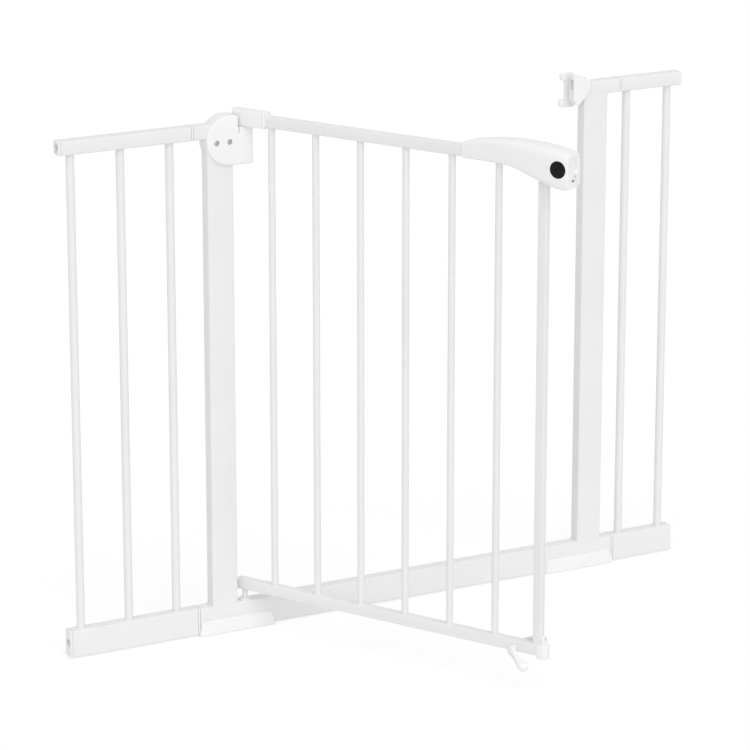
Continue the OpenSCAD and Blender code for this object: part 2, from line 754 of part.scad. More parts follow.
// Coil that pushes the tongue out
module latch_spring() {
    last = spring_turns * spring_steps;
    points = [for (s = [0 : last]) for (k = [0 : 5]) coil_point(s, k)];
    skin = [for (s = [0 : last - 1]) for (k = [0 : 5]) for (half = [0, 1])
        let (a = s * 6 + k, b = s * 6 + (k + 1) % 6)
        half == 0 ? [a, b, b + 6] : [a, b + 6, a + 6]];
    ends = [[5, 4, 3, 2, 1, 0], [for (k = [0 : 5]) last * 6 + k]];
    color("silver") on_door() polyhedron(points, concat(skin, ends));
}

// Sprung tongue: a nose that enters the catch, a bored carriage and the wedge that the button pushes
module latch_tongue() {
    wedge_x1 = cam_x + (tongue_y0 - cam_y) / cam_slope;
    color(soft_white) on_door() difference() {
        union() {
            box([carriage_x0, tongue_y0, spring_z - carriage_h / 2],
                [carriage_x1, tongue_y0 + carriage_w, spring_z + carriage_h / 2]);
            box([carriage_x1 - 1, tongue_y0, tongue_z0],
                [handle_x1 + tongue_out, tongue_y0 + tongue_w, tongue_z0 + tongue_h]);
            translate([0, 0, tongue_z0]) linear_extrude(tongue_h)
                polygon([[carriage_x0 + 1.5, tongue_y0 + 1], [carriage_x0 + 1.5, cam_y], [cam_x, cam_y],
                         [wedge_x1, tongue_y0], [wedge_x1, tongue_y0 + 1]]);
        }
        rod_x(spring_r + wire_r + 0.3, spring_y, spring_z, carriage_x0 - 1, spring_x1 + 0.2);
    }
}

// Round push button with a plunger, cut to the slope of the tongue's wedge
module release_button() {
    plunger_y1 = tongue_y0 - button_travel - 0.2;
    far = 40;
    color("black") on_door() union() {
        rod_y(button_d / 2, button_x, button_z, button_y0, button_y0 + button_t);
        intersection() {
            rod_y(plunger_r, button_x, button_z, button_y0 + button_t - 1, plunger_y1);
            translate([cam_x, cam_y - run_gap, button_z - far / 2]) linear_extrude(far)
                polygon([[-far, -far * cam_slope], [far, far * cam_slope], [far, -far], [-far, -far]]);
        }
    }
}

// ---- foot stop ----

// Lever on the front of the bottom rail: a hub, a bent arm and a rounded toe pad
module stop_lever() {
    front = -door_rail_d / 2 - run_gap;
    color(soft_white) on_door() difference() {
        union() {
            rod_y(hub_r, stop_x, stop_z, front - 3.3, front);
            hull() {
                rod_y(5.3, stop_x + 1, stop_z - 1, front - 3.3, front - 0.5);
                translate([stop_x + 10, front - 8.5, stop_z - 9]) sphere(r = 6.2, $fn = 32);
            }
            hull() {
                translate([stop_x + 10, front - 8.5, stop_z - 9]) sphere(r = 6.2, $fn = 32);
                translate([stop_x + 19.5, front - 13.5, stop_z - 16.5]) sphere(r = 8.5, $fn = 32);
            }
        }
        rod_y(stop_pin_r, stop_x, stop_z, front - 2, front + 2);
    }
}

// Pin through the rail that joins the lever and the flag
module stop_lever_pin() {
    color("silver") on_door()
        rod_y(stop_pin_r, stop_x, stop_z, -door_rail_d / 2 - run_gap - 2, flag_y + flag_t);
}

// Flag behind the rail: turned down, it stands behind the floor bar and holds the door
module stop_flag() {
    back = door_rail_d / 2 + run_gap;
    color(soft_white) on_door() difference() {
        union() {
            rod_y(hub_r, stop_x, stop_z, back, flag_y + 1);
            translate([stop_x, 0, stop_z]) rotate([0, -flag_angle, 0]) side_profile(flag_y, flag_y + flag_t)
                polygon([[flag_slant - flag_half, -flag_half], [flag_l - flag_slant, -flag_half],
                    [flag_l, flag_slant - flag_half], [flag_l, flag_half - flag_slant],
                    [flag_l - flag_slant, flag_half], [flag_slant - flag_half, flag_half],
                    [-flag_half, flag_half - flag_slant], [-flag_half, flag_slant - flag_half]]);
        }
        rod_y(stop_pin_r, stop_x, stop_z, back - 1, flag_y + flag_t + 1);
    }
}

threshold_bar();
upright_left();
upright_right();
top_stub_left();
top_stub_right();
left_bottom_rail();
left_top_rail();
left_bar_1();
left_bar_2();
left_bar_3();
right_bottom_rail();
right_top_rail();
right_bar_1();
right_bar_2();
socket_left_bottom();
socket_left_top();
socket_right_bottom();
socket_right_top();
coupling_left_bottom();
coupling_left_top();
coupling_right_bottom();
coupling_right_top();
foot_left();
foot_right();
hinge_housing_front();
hinge_housing_back();
hinge_screws();
top_hinge_bush();
bottom_hinge_bush();
catch_block();
catch_striker();
catch_screws();
door_top_rail();
door_bottom_rail();
door_end_post();
door_bar_1();
door_bar_2();
door_bar_3();
door_bar_4();
door_bar_5();
door_bar_6();
hinge_arm();
arm_collar();
top_hinge_pin();
bottom_hinge_pin();
hinge_end_plug();
free_end_cap();
handle_front();
handle_back();
handle_end_plate();
handle_screws();
latch_spring();
latch_tongue();
release_button();
stop_lever();
stop_lever_pin();
stop_flag();
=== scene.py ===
"""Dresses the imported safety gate: powder-coated tubes, moulded fittings and a plain studio.

Lengths are millimetres. +X runs from the hinge to the latch, +Z is up and the door opens
towards -Y. Door pieces are made in the door's own axes, x along the door and y through it,
and are then turned to where the door stands.
"""

from __future__ import annotations

import json
import logging
import math
from collections.abc import Callable, Iterator, Sequence
from contextlib import contextmanager
from dataclasses import dataclass, field, replace
from enum import Enum
from functools import cached_property

import bpy
from mathutils import Matrix, Vector


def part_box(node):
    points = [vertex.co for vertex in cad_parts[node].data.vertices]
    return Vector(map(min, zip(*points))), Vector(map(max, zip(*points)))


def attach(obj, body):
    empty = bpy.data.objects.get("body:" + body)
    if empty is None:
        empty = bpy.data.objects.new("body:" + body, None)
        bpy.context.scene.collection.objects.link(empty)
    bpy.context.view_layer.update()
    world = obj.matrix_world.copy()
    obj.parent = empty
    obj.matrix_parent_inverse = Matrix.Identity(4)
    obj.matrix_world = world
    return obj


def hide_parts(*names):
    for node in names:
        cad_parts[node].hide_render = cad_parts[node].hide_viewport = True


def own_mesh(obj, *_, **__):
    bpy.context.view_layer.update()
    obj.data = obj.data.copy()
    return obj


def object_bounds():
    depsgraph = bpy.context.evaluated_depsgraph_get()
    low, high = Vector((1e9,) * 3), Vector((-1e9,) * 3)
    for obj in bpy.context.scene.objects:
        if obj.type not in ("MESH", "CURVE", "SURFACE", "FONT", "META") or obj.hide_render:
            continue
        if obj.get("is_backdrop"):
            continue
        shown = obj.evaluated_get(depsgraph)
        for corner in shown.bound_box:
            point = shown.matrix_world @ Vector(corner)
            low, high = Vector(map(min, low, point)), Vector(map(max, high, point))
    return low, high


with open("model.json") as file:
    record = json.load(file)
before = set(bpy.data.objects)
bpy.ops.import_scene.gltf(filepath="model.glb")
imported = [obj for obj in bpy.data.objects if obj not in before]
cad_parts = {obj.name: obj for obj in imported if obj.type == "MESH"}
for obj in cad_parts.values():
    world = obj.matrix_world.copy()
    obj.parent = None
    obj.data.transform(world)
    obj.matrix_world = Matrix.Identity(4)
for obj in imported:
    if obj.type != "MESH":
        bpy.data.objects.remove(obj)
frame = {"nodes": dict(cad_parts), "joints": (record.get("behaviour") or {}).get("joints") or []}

Pair = tuple[float, float]
Triple = tuple[float, float, float]
Layers = tuple[tuple[float, float, float, float], ...]

log = logging.getLogger("gate")
MM = 0.001
NEAR = 0.01  # how near a plane still counts as on it
SMOOTH = math.radians(35)  # an edge that bends more than this stays sharp
PAST = 99.0  # a distance past the part at hand
OVERHEAD = 999.0  # a height above the whole gate
SQUARE = [(-1, -1), (1, -1), (1, 1), (-1, 1)]  # the corners of a run's plain section


def joint_range(name: str, key: str) -> Sequence[float]:
    """The range of one of the frame's joints."""
    return next(j for j in frame["joints"] if j["name"] == name)[key]


OPEN_ANGLE = float(max(joint_range("door_swing", "range_deg")))  # how far the door can turn shut
ONTO_DOOR = Matrix.Rotation(math.radians(-OPEN_ANGLE), 3, "Z")
OFF_DOOR = Matrix.Rotation(math.radians(OPEN_ANGLE), 3, "Z")


class Body(Enum):
    """The bodies of the gate that its pieces ride on."""

    FRAME = "frame"
    DOOR = "door"
    BUTTON = "button"
    LATCH = "latch"
    STOP = "foot_stop"


class Axis(Enum):
    """An axis to extrude an outline along, and the two axes the outline is drawn on."""

    X = (0, 1, 2)
    Y = (1, 0, 2)
    Z = (2, 0, 1)

    def unit(self) -> Vector:
        """The axis as a direction."""
        return Vector([float(n == self.value[0]) for n in range(3)])

    def point(self, pair: Pair, along: float) -> Vector:
        """Places an outline's corner.

        Args:
            pair: The corner on the outline's two axes.
            along: Its place on this axis.

        Returns:
            The corner in metres.
        """
        spot = Vector((0.0, 0.0, 0.0))
        for n, place in zip(self.value, (along, *pair)):
            spot[n] = place * MM
        return spot


# ---- shapes drawn in the flat ----


def arc(middle: Pair, radius: float, start: float, end: float, steps: int) -> list[Pair]:
    """Points on an arc.

    Args:
        middle: The arc's centre.
        radius: Its radius.
        start: Its first angle in degrees.
        end: Its last angle in degrees.
        steps: How many pieces it is cut into.

    Returns:
        The points, both ends included.
    """
    turns = [math.radians(start + (end - start) * n / steps) for n in range(steps + 1)]
    return [(middle[0] + radius * math.cos(a), middle[1] + radius * math.sin(a)) for a in turns]


def filleted(corners: Sequence[Pair], radii: float | Sequence[float], steps: int) -> list[Pair]:
    """Rounds an outline's corners.

    Args:
        corners: The outline's corners in order.
        radii: One radius for all, or one for each corner.
        steps: How many pieces each rounding is cut into.

    Returns:
        The outline with each corner as a short curve.
    """
    count = len(corners)
    each = [float(radii)] * count if isinstance(radii, (int, float)) else list(radii)
    made: list[Pair] = []
    for n, radius in enumerate(each):
        here = Vector(corners[n])
        back = Vector(corners[n - 1]) - here
        ahead = Vector(corners[(n + 1) % count]) - here
        half = back.angle(ahead) / 2
        reach = min(radius / math.tan(half), back.length * 0.49, ahead.length * 0.49)
        first, last = here + back.normalized() * reach, here + ahead.normalized() * reach
        for k in range(steps + 1):
            t = k / steps
            spot = first * (1 - t) ** 2 + here * 2 * t * (1 - t) + last * t * t
            made.append((spot.x, spot.y))
    return made


@dataclass(frozen=True)
class Station:
    """One cross-section of a run: its place and its sides."""

    x: float
    y0: float
    y1: float
    z0: float
    z1: float

    def middle(self) -> Vector:
        """The middle of the section, in metres."""
        return Vector((self.x, (self.y0 + self.y1) / 2, (self.z0 + self.z1) / 2)) * MM

    def blended(self, other: Station, before: Station, after: Station, t: float) -> Station:
        """A section between this one and the next, on a smooth curve through four of them.

        Args:
            other: The next section.
            before: The section before this one.
            after: The section after the next one.
            t: How far along, from 0 to 1.

        Returns:
            The section in between.
        """
        values = []
        for key in ("x", "y0", "y1", "z0", "z1"):
            p0, p1, p2, p3 = (getattr(s, key) for s in (before, self, other, after))
            square = (2 * p0 - 5 * p1 + 4 * p2 - p3) * t * t
            cube = (3 * p1 - p0 - 3 * p2 + p3) * t**3
            values.append(0.5 * (2 * p1 + (p2 - p0) * t + square + cube))
        return Station(*values)


def smooth_run(stations: Sequence[Station], parts: int) -> list[Station]:
    """Fills in between sections with a smooth curve.

    Args:
        stations: The sections to pass through.
        parts: How many pieces each gap is cut into.

    Returns:
        All the sections in order.
    """
    made: list[Station] = []
    last = len(stations) - 1
    for n in range(last):
        before, after = stations[max(n - 1, 0)], stations[min(n + 2, last)]
        for k in range(parts):
            made.append(stations[n].blended(stations[n + 1], before, after, k / parts))
    return [*made, stations[-1]]


# ---- the bench ----


def clear_selection() -> None:
    """Leaves nothing selected, so that the next operator acts on one piece only."""
    if bpy.context.object and bpy.context.object.mode != "OBJECT":
        bpy.ops.object.mode_set(mode="OBJECT")
    bpy.ops.object.select_all(action="DESELECT")


def extrude(way: Sequence[float]) -> None:
    """Extrudes what is picked, by a way in metres."""
    bpy.ops.mesh.extrude_region_move(TRANSFORM_OT_translate={"value": way})


class Piece:
    """A mesh on the bench, shaped with Blender's own operators."""

    def __init__(self, thing: bpy.types.Object) -> None:
        """Takes the mesh object that the piece is."""
        self.thing = thing

    @classmethod
    def _named(cls, name: str) -> Piece:
        """Takes the active object as a piece, under a name."""
        bpy.context.active_object.name = name
        return cls(bpy.context.active_object)._settled()

    @classmethod
    def _added(cls, name: str, operator: Callable[..., set[str]], **settings: object) -> Piece:
        """Adds a primitive while nothing else is selected.

        Args:
            name: The piece's name.
            operator: What adds the primitive.
            settings: Its size and its place, in metres.

        Returns:
            The piece.
        """
        clear_selection()
        operator(**settings)
        return cls._named(name)

    @classmethod
    def block(cls, name: str, low: Sequence[float], high: Sequence[float]) -> Piece:
        """A block between two corners.

        Args:
            name: The piece's name.
            low: One corner.
            high: The corner across from it.

        Returns:
            The block.
        """
        a = Vector([min(pair) for pair in zip(low, high)]) * MM
        b = Vector([max(pair) for pair in zip(low, high)]) * MM
        cube = bpy.ops.mesh.primitive_cube_add
        return cls._added(name, cube, size=1, location=(a + b) / 2, scale=b - a)

    @classmethod
    def rod(
        cls,
        name: str,
        radius: float,
        start: Sequence[float],
        end: Sequence[float],
        sides: int = 48,
        capped: bool = True,
    ) -> Piece:
        """A round rod from one point to another.

        Args:
            name: The piece's name.
            radius: Its radius.
            start: The middle of its first end.
            end: The middle of its last end.
            sides: How many sides stand for the round.
            capped: Whether its ends are closed.

        Returns:
            The rod.
        """
        a, b = Vector(start) * MM, Vector(end) * MM
        return cls._added(
            name,
            bpy.ops.mesh.primitive_cylinder_add,
            vertices=sides,
            radius=radius * MM,
            depth=(b - a).length,
            end_fill_type="NGON" if capped else "NOTHING",
            location=(a + b) / 2,
            rotation=(b - a).to_track_quat("Z", "Y").to_euler(),
        )

    @classmethod
    def rod_y(
        cls, name: str, radius: float, at: Pair, y0: float, y1: float, sides: int = 48
    ) -> Piece:
        """A rod along Y, at an x and a z."""
        return cls.rod(name, radius, (at[0], y0, at[1]), (at[0], y1, at[1]), sides)

    @classmethod
    def rod_z(cls, name: str, radius: float, z0: float, z1: float, sides: int = 48) -> Piece:
        """An upright rod on the hinge line."""
        return cls.rod(name, radius, (0, 0, z0), (0, 0, z1), sides)

    @classmethod
    def ring(cls, name: str, radius: float, thick: float, at: Sequence[float]) -> Piece:
        """A level ring of round wire.

        Args:
            name: The piece's name.
            radius: From the ring's middle to the wire's middle.
            thick: The wire's own radius.
            at: The ring's middle.

        Returns:
            The ring.
        """
        return cls._added(
            name,
            bpy.ops.mesh.primitive_torus_add,
            location=Vector(at) * MM,
            major_segments=32,
            minor_segments=8,
            major_radius=radius * MM,
            minor_radius=thick * MM,
        )

    @classmethod
    def coil(
        cls,
        name: str,
        radius: float,
        wire: float,
        start: Sequence[float],
        length: float,
        turns: int,
    ) -> Piece:
        """A spring of round wire along X: one ring of wire swept as a screw.

        Args:
            name: The piece's name.
            radius: From the spring's middle to the wire's middle.
            wire: The wire's own radius.
            start: The middle of the spring's first end.
            length: The spring's length over its ends.
            turns: How many turns it has.

        Returns:
            The spring with closed ends.
        """
        piece = cls._added(
            name,
            bpy.ops.mesh.primitive_circle_add,
            vertices=10,
            radius=wire * MM,
            location=(radius * MM, 0, wire * MM),
            rotation=(math.pi / 2, 0, 0),
        )
        pitch = (length - 2 * wire) / turns
        piece._apply("SCREW", axis="Z", screw_offset=pitch * MM, iterations=turns, steps=24)
        piece._edited("VERT", bpy.ops.mesh.fill_holes, sides=0)
        return piece.turned_outwards().turned(90, "Y").moved(start)

    @classmethod
    def outline(
        cls, name: str, corners: Sequence[Pair], axis: Axis, low: float, high: float
    ) -> Piece:
        """A flat outline, set out from a filled circle's corners and extruded.

        Args:
            name: The piece's name.
            corners: The outline's corners in order.
            axis: The axis it is extruded along.
            low: Where it starts.
            high: Where it ends.

        Returns:
            The extruded outline.
        """
        circle = bpy.ops.mesh.primitive_circle_add
        piece = cls._added(name, circle, vertices=len(corners), radius=MM, fill_type="NGON")
        for vertex, pair in zip(piece.thing.data.vertices, corners):
            vertex.co = axis.point(pair, low)
        with piece.editing("FACE"):
            extrude(axis.unit() * (high - low) * MM)
        return piece.turned_outwards()

    @classmethod
    def run(cls, name: str, section: Sequence[Pair], stations: Sequence[Station]) -> Piece:
        """A section extruded from station to station and sized at each.

        Args:
            name: The piece's name.
            section: The section's corners, from -1 to 1 across and up.
            stations: The sections in order.

        Returns:
            The closed run.
        """
        first, second = stations[:2]
        middle = first.middle() / MM
        wide, tall = (first.y1 - first.y0) / 2, (first.z1 - first.z0) / 2
        corners = [(middle.y + u * wide, middle.z + v * tall) for u, v in section]
        piece = cls.outline(name, corners, Axis.X, first.x, second.x)
        with piece.editing("FACE", lambda f: abs(f.center.x / MM - second.x) < NEAR):
            piece._resize(first, second)
            for here, following in zip(stations[1:], stations[2:]):
                extrude(((following.x - here.x) * MM, 0, 0))
                piece._resize(here, following)
        return piece.turned_outwards()

    @staticmethod
    def _resize(here: Station, following: Station) -> None:
        """Brings the picked end face from one station's sides to the next one's.

        Args:
            here: The station whose sides it has.
            following: The station it now stands at.
        """
        wide = (following.y1 - following.y0) / (here.y1 - here.y0)
        tall = (following.z1 - following.z0) / (here.z1 - here.z0)
        pivot = here.middle()
        pivot.x = following.x * MM
        bpy.ops.transform.resize(value=(1, wide, tall), center_override=pivot)
        bpy.ops.transform.translate(value=following.middle() - pivot)

    def _alone(self) -> None:
        """Selects this piece and nothing else."""
        clear_selection()
        self.thing.select_set(True)
        bpy.context.view_layer.objects.active = self.thing

    def _settled(self) -> Piece:
        """Applies the piece's place to its mesh."""
        bpy.ops.object.transform_apply(location=True, rotation=True, scale=True)
        return self

    @contextmanager
    def editing(
        self, kind: str, wanted: Callable[[bpy.types.bpy_struct], bool] | None = None
    ) -> Iterator[None]:
        """Holds the piece in edit mode, with all of it picked or what passes a test.

        Args:
            kind: What is picked: VERT, EDGE or FACE.
            wanted: The test, of an edge or of a face.

        Yields:
            Nothing: the edit mode lasts as long as the block does.
        """
        self._alone()
        mesh = self.thing.data
        if wanted:
            for parts in (mesh.vertices, mesh.edges, mesh.polygons):
                parts.foreach_set("select", [False] * len(parts))
            for part in filter(wanted, mesh.edges if kind == "EDGE" else mesh.polygons):
                part.select = True
                for n in part.vertices if kind == "EDGE" else ():
                    mesh.vertices[n].select = True
        modes = [kind == each for each in ("VERT", "EDGE", "FACE")]
        bpy.context.tool_settings.mesh_select_mode = modes
        bpy.ops.object.mode_set(mode="EDIT")
        if not wanted:
            bpy.ops.mesh.select_all(action="SELECT")
        yield
        bpy.ops.object.mode_set(mode="OBJECT")

    def _edited(self, kind: str, operator: Callable[..., set[str]], **settings: object) -> Piece:
        """Runs one operator on all of the piece.

        Args:
            kind: What is picked: VERT, EDGE or FACE.
            operator: What is run.
            settings: Its settings, in metres.

        Returns:
            The piece.
        """
        with self.editing(kind):
            operator(**settings)
        return self

    def turned_outwards(self) -> Piece:
        """Makes every face point outwards."""
        return self._edited("FACE", bpy.ops.mesh.normals_make_consistent, inside=False)

    def _apply(self, kind: str, **settings: object) -> Piece:
        """Puts one modifier on the piece and applies it.

        Args:
            kind: The modifier's type.
            settings: Its properties.

        Returns:
            The piece.
        """
        self._alone()
        change = self.thing.modifiers.new(kind.lower(), kind)
        for key, value in settings.items():
            setattr(change, key, value)
        bpy.ops.object.modifier_apply(modifier=change.name)
        return self

    def bevelled(self, width: float, segments: int = 3, angle: float = 30.0) -> Piece:
        """Rounds every edge sharper than an angle.

        Args:
            width: The rounding's width.
            segments: How many faces it is made of.
            angle: The smallest bend, in degrees, that is rounded.

        Returns:
            The piece.
        """
        return self._apply(
            "BEVEL",
            width=width * MM,
            segments=segments,
            limit_method="ANGLE",
            angle_limit=math.radians(angle),
            use_clamp_overlap=True,
        )

    def rimmed(self, axis: Axis, place: float, width: float, segments: int) -> Piece:
        """Rounds the edges that lie in one plane.

        Args:
            axis: The plane's normal.
            place: The plane's place on that axis.
            width: The rounding's width.
            segments: How many faces it is made of.

        Returns:
            The piece.
        """
        spots = self.thing.data.vertices
        n = axis.value[0]

        def inside(edge: bpy.types.MeshEdge) -> bool:
            """Whether both ends of an edge lie in the plane."""
            return all(abs(spots[end].co[n] / MM - place) < NEAR for end in edge.vertices)

        with self.editing("EDGE", inside):
            bpy.ops.mesh.bevel(offset=width * MM, segments=segments, clamp_overlap=True)
        return self

    def subdivided(self, levels: int) -> Piece:
        """Smooths the piece as a subdivision surface."""
        return self._apply("SUBSURF", levels=levels, render_levels=levels)

    def walled(self, thickness: float) -> Piece:
        """Gives an open shell a wall on its inner side."""
        return self._apply("SOLIDIFY", thickness=thickness * MM, offset=-1.0)

    def cut(self, *tools: Piece) -> Piece:
        """Takes other pieces' shapes out of this one."""
        return self._combined("DIFFERENCE", tools)

    def fused(self, *others: Piece) -> Piece:
        """Makes one solid of this piece and others."""
        return self._combined("UNION", others)

    def _combined(self, operation: str, others: Sequence[Piece]) -> Piece:
        """Applies one boolean for each of the other pieces, which are then gone.

        Args:
            operation: DIFFERENCE or UNION.
            others: The other pieces.

        Returns:
            The piece.
        """
        for other in others:
            self._apply("BOOLEAN", operation=operation, object=other.thing, solver="EXACT")
            bpy.data.objects.remove(other.thing)
        return self

    def gathered(self, *others: Piece) -> Piece:
        """Joins other pieces to this one as loose shells of the same object.

        Args:
            others: The other pieces.

        Returns:
            The piece.
        """
        self._alone()
        for piece in others:
            piece.thing.select_set(True)
        bpy.ops.object.join()
        return self

    def copied(self, name: str, offset: Sequence[float]) -> Piece:
        """A copy with its own mesh.

        Args:
            name: The copy's name.
            offset: How far it is moved.

        Returns:
            The copy.
        """
        self._alone()
        bpy.ops.object.duplicate(linked=False)
        bpy.context.active_object.location = Vector(offset) * MM
        return Piece._named(name)

    def moved(self, offset: Sequence[float]) -> Piece:
        """Moves the piece by an offset."""
        return self._placed(Matrix.Translation(Vector(offset) * MM))

    def turned(self, degrees: float, axis: str) -> Piece:
        """Turns the piece about the X, Y or Z axis, counted against the clock."""
        return self._placed(Matrix.Rotation(math.radians(degrees), 4, axis))

    def _placed(self, change: Matrix) -> Piece:
        """Moves or turns the piece's mesh.

        Args:
            change: The move or the turn.

        Returns:
            The piece.
        """
        self._alone()
        self.thing.matrix_world = change
        return self._settled()

    def halved(self, keep_front: bool) -> Piece:
        """Cuts the piece where y is 0 and closes what is kept.

        Args:
            keep_front: Whether the front is kept and not the back.

        Returns:
            The piece.
        """
        plane = {"plane_co": (0, 0, 0), "plane_no": Axis.Y.unit(), "use_fill": True}
        sides = {"clear_outer": keep_front, "clear_inner": not keep_front}
        return self._edited("VERT", bpy.ops.mesh.bisect, **plane, **sides).turned_outwards()

    def roughened(self, amount: float, seed: int) -> Piece:
        """Moves each point a little at random, as in a weld."""
        shake = bpy.ops.transform.vertex_random
        return self._edited("VERT", shake, offset=amount * MM, uniform=0.3, seed=seed)

    def dressed(self, finish: Finish, node: str, body: Body = Body.FRAME) -> None:
        """Gives the piece its finish and its body, and hides the CAD node it stands for.

        A piece that isn't the frame's was made in the door's axes, so it is turned onto the door.

        Args:
            finish: What its surface is.
            node: The CAD node it replaces.
            body: The body it rides on.
        """
        if body is not Body.FRAME:
            self.turned(-OPEN_ANGLE, "Z")
        self._alone()
        bpy.ops.object.shade_smooth_by_angle(angle=SMOOTH)
        self.thing.data.materials.clear()
        self.thing.data.materials.append(finish.material())
        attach(self.thing, body.value)
        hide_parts(node)
        faces = len(self.thing.data.polygons)
        log.info("%s: %d faces, rides on %s", self.thing.name, faces, body.value)


@dataclass(frozen=True)
class Room:
    """A space with straight sides, such as the one that a CAD node fills."""

    x0: float
    y0: float
    z0: float
    x1: float
    y1: float
    z1: float

    @classmethod
    def of(cls, node: str) -> Room:
        """The room of a node of the frame."""
        low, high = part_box(node)
        return cls(*(low / MM), *(high / MM))

    @classmethod
    def on_door(cls, node: str) -> Room:
        """The room of a node of the door, in the door's own axes.

        Args:
            node: The node's name.

        Returns:
            Its room.
        """
        spots = [OFF_DOOR @ v.co / MM for v in frame["nodes"][node].data.vertices]
        sides = [[test(s[n] for s in spots) for n in range(3)] for test in (min, max)]
        return cls(*sides[0], *sides[1])

    @property
    def x(self) -> float:
        """The middle along X."""
        return (self.x0 + self.x1) / 2

    @property
    def y(self) -> float:
        """The middle along Y."""
        return (self.y0 + self.y1) / 2

    @property
    def z(self) -> float:
        """The middle along Z."""
        return (self.z0 + self.z1) / 2

    def slimmed(self, by: float) -> Room:
        """The room with its y and z sides moved in."""
        return replace(self, y0=self.y0 + by, y1=self.y1 - by, z0=self.z0 + by, z1=self.z1 - by)

    def block(self, name: str, **sides: float) -> Piece:
        """A block that fills the room, with the named sides placed elsewhere."""
        room = replace(self, **sides)
        return Piece.block(name, (room.x0, room.y0, room.z0), (room.x1, room.y1, room.z1))


# ---- finishes ----


class NodeBench:
    """Adds shader nodes to one material or world and wires them."""

    def __init__(self, owner: bpy.types.Material | bpy.types.World, bare: bool = False) -> None:
        """Takes the nodes of a material or a world.

        Args:
            owner: The material or the world.
            bare: Whether its nodes are cleared first.
        """
        owner.use_nodes = True
        self.tree = owner.node_tree
        if bare:
            self.tree.nodes.clear()

    @cached_property
    def place(self) -> bpy.types.NodeSocket:
        """Where a point of the piece is, which every pattern follows."""
        return self.add("ShaderNodeTexCoord").outputs["Object"]

    def feed(self, node: bpy.types.Node, inputs: dict[str | int, object]) -> bpy.types.Node:
        """Sets a node's inputs.

        Args:
            node: The node.
            inputs: A value or a socket for each input, by its name or its number.

        Returns:
            The node.
        """
        for key, value in inputs.items():
            if isinstance(value, bpy.types.NodeSocket):
                self.tree.links.new(value, node.inputs[key])
            else:
                node.inputs[key].default_value = value
        return node

    def add(
        self, kind: str, inputs: dict[str | int, object] | None = None, **settings: object
    ) -> bpy.types.Node:
        """Adds a node.

        Args:
            kind: The node's type.
            inputs: Values or sockets for its inputs.
            settings: Its properties.

        Returns:
            The node.
        """
        node = self.tree.nodes.new(kind)
        for key, value in settings.items():
            setattr(node, key, value)
        return self.feed(node, inputs or {})

    def noise(
        self, size: float, detail: float, stretch: Triple = (1, 1, 1)
    ) -> bpy.types.NodeSocket:
        """A noise whose lumps have a size in millimetres.

        Args:
            size: The size of a lump.
            detail: How many finer layers it has.
            stretch: How much finer it is on each axis.

        Returns:
            Its value, from 0 to 1.
        """
        place = self.add("ShaderNodeMapping", {"Vector": self.place, "Scale": stretch})
        sizes = {"Scale": 1 / (size * MM), "Detail": detail, "Roughness": 0.55}
        return self.add("ShaderNodeTexNoise", {"Vector": place.outputs[0], **sizes}).outputs[0]

    def seen(self) -> bpy.types.NodeSocket:
        """Tells the rays that are seen from those that only carry light.

        Returns:
            1 for rays from the camera, a mirror or glass, otherwise 0.
        """
        path = self.add("ShaderNodeLightPath").outputs
        total = path["Is Camera Ray"]
        for key in ("Is Glossy Ray", "Is Transmission Ray"):
            most = self.add("ShaderNodeMath", {0: total, 1: path[key]}, operation="MAXIMUM")
            total = most.outputs[0]
        return total

    def show(self, plain: bpy.types.Node, shown: bpy.types.Node, output: str) -> None:
        """Wires one shader for the light and another for what is seen.

        Args:
            plain: The shader that lights the gate.
            shown: The shader that the camera, a mirror or glass sees.
            output: The type of the output node.
        """
        parts = {0: self.seen(), 1: plain.outputs[0], 2: shown.outputs[0]}
        self.add(output, {0: self.add("ShaderNodeMixShader", parts).outputs[0]})


@dataclass(frozen=True)
class Finish:
    """What a surface is made of: drifting colours, a varying sheen and layers of bumps.

    A grain is the size of its lumps and how many finer layers it has. A layer of bumps is a
    grain with its strength and its depth; one with the drift's own grain follows the drift.
    """

    name: str
    slot: str
    pale: Triple
    deep: Triple
    roughness: Pair
    drift: Pair
    sheen: Pair
    bumps: Layers
    stretch: Triple = (1, 1, 1)
    specular: float = 0.5
    metallic: float = 0.0
    middle: Pair = (0.3, 0.7)  # the part of a noise that most of it lies in

    def material(self) -> bpy.types.Material:
        """The finish's material, made the first time it is asked for."""
        return bpy.data.materials.get(self.name) or self.made()

    def made(self) -> bpy.types.Material:
        """Builds the material.

        Returns:
            The new material.
        """
        material = bpy.data.materials.new(self.name)
        bench = NodeBench(material)
        low, high = self.middle
        drift = bench.noise(*self.drift, self.stretch)
        ramp = bench.add("ShaderNodeValToRGB", {"Fac": drift})
        for stop, place, colour in zip(
            ramp.color_ramp.elements, self.middle, (self.deep, self.pale)
        ):
            stop.position, stop.color = place, (*colour, 1)
        spread = {"Value": bench.noise(*self.sheen), "From Min": low, "From Max": high}
        low, high = self.roughness
        rough = bench.add("ShaderNodeMapRange", {**spread, "To Min": low, "To Max": high})
        look = {
            "Base Color": ramp.outputs[0],
            "Roughness": rough.outputs[0],
            "Normal": self._bumps(bench, drift),
            "Specular IOR Level": self.specular,
            "Metallic": self.metallic,
        }
        bench.feed(bench.tree.nodes["Principled BSDF"], look)
        return material

    def _bumps(self, bench: NodeBench, drift: bpy.types.NodeSocket) -> bpy.types.NodeSocket:
        """Stacks the layers of bumps.

        Args:
            bench: The material's bench.
            drift: The noise that the colours follow.

        Returns:
            The bumpy normal.
        """
        heights = [
            drift if grain == self.drift else bench.noise(*grain)
            for grain in (layer[:2] for layer in self.bumps)
        ]
        below: dict[str | int, object] = {}
        for height, (_, _, strength, depth) in zip(heights, self.bumps):
            bump = {"Height": height, "Strength": strength, "Distance": depth * MM, **below}
            below = {"Normal": bench.add("ShaderNodeBump", bump).outputs[0]}
        return below["Normal"]


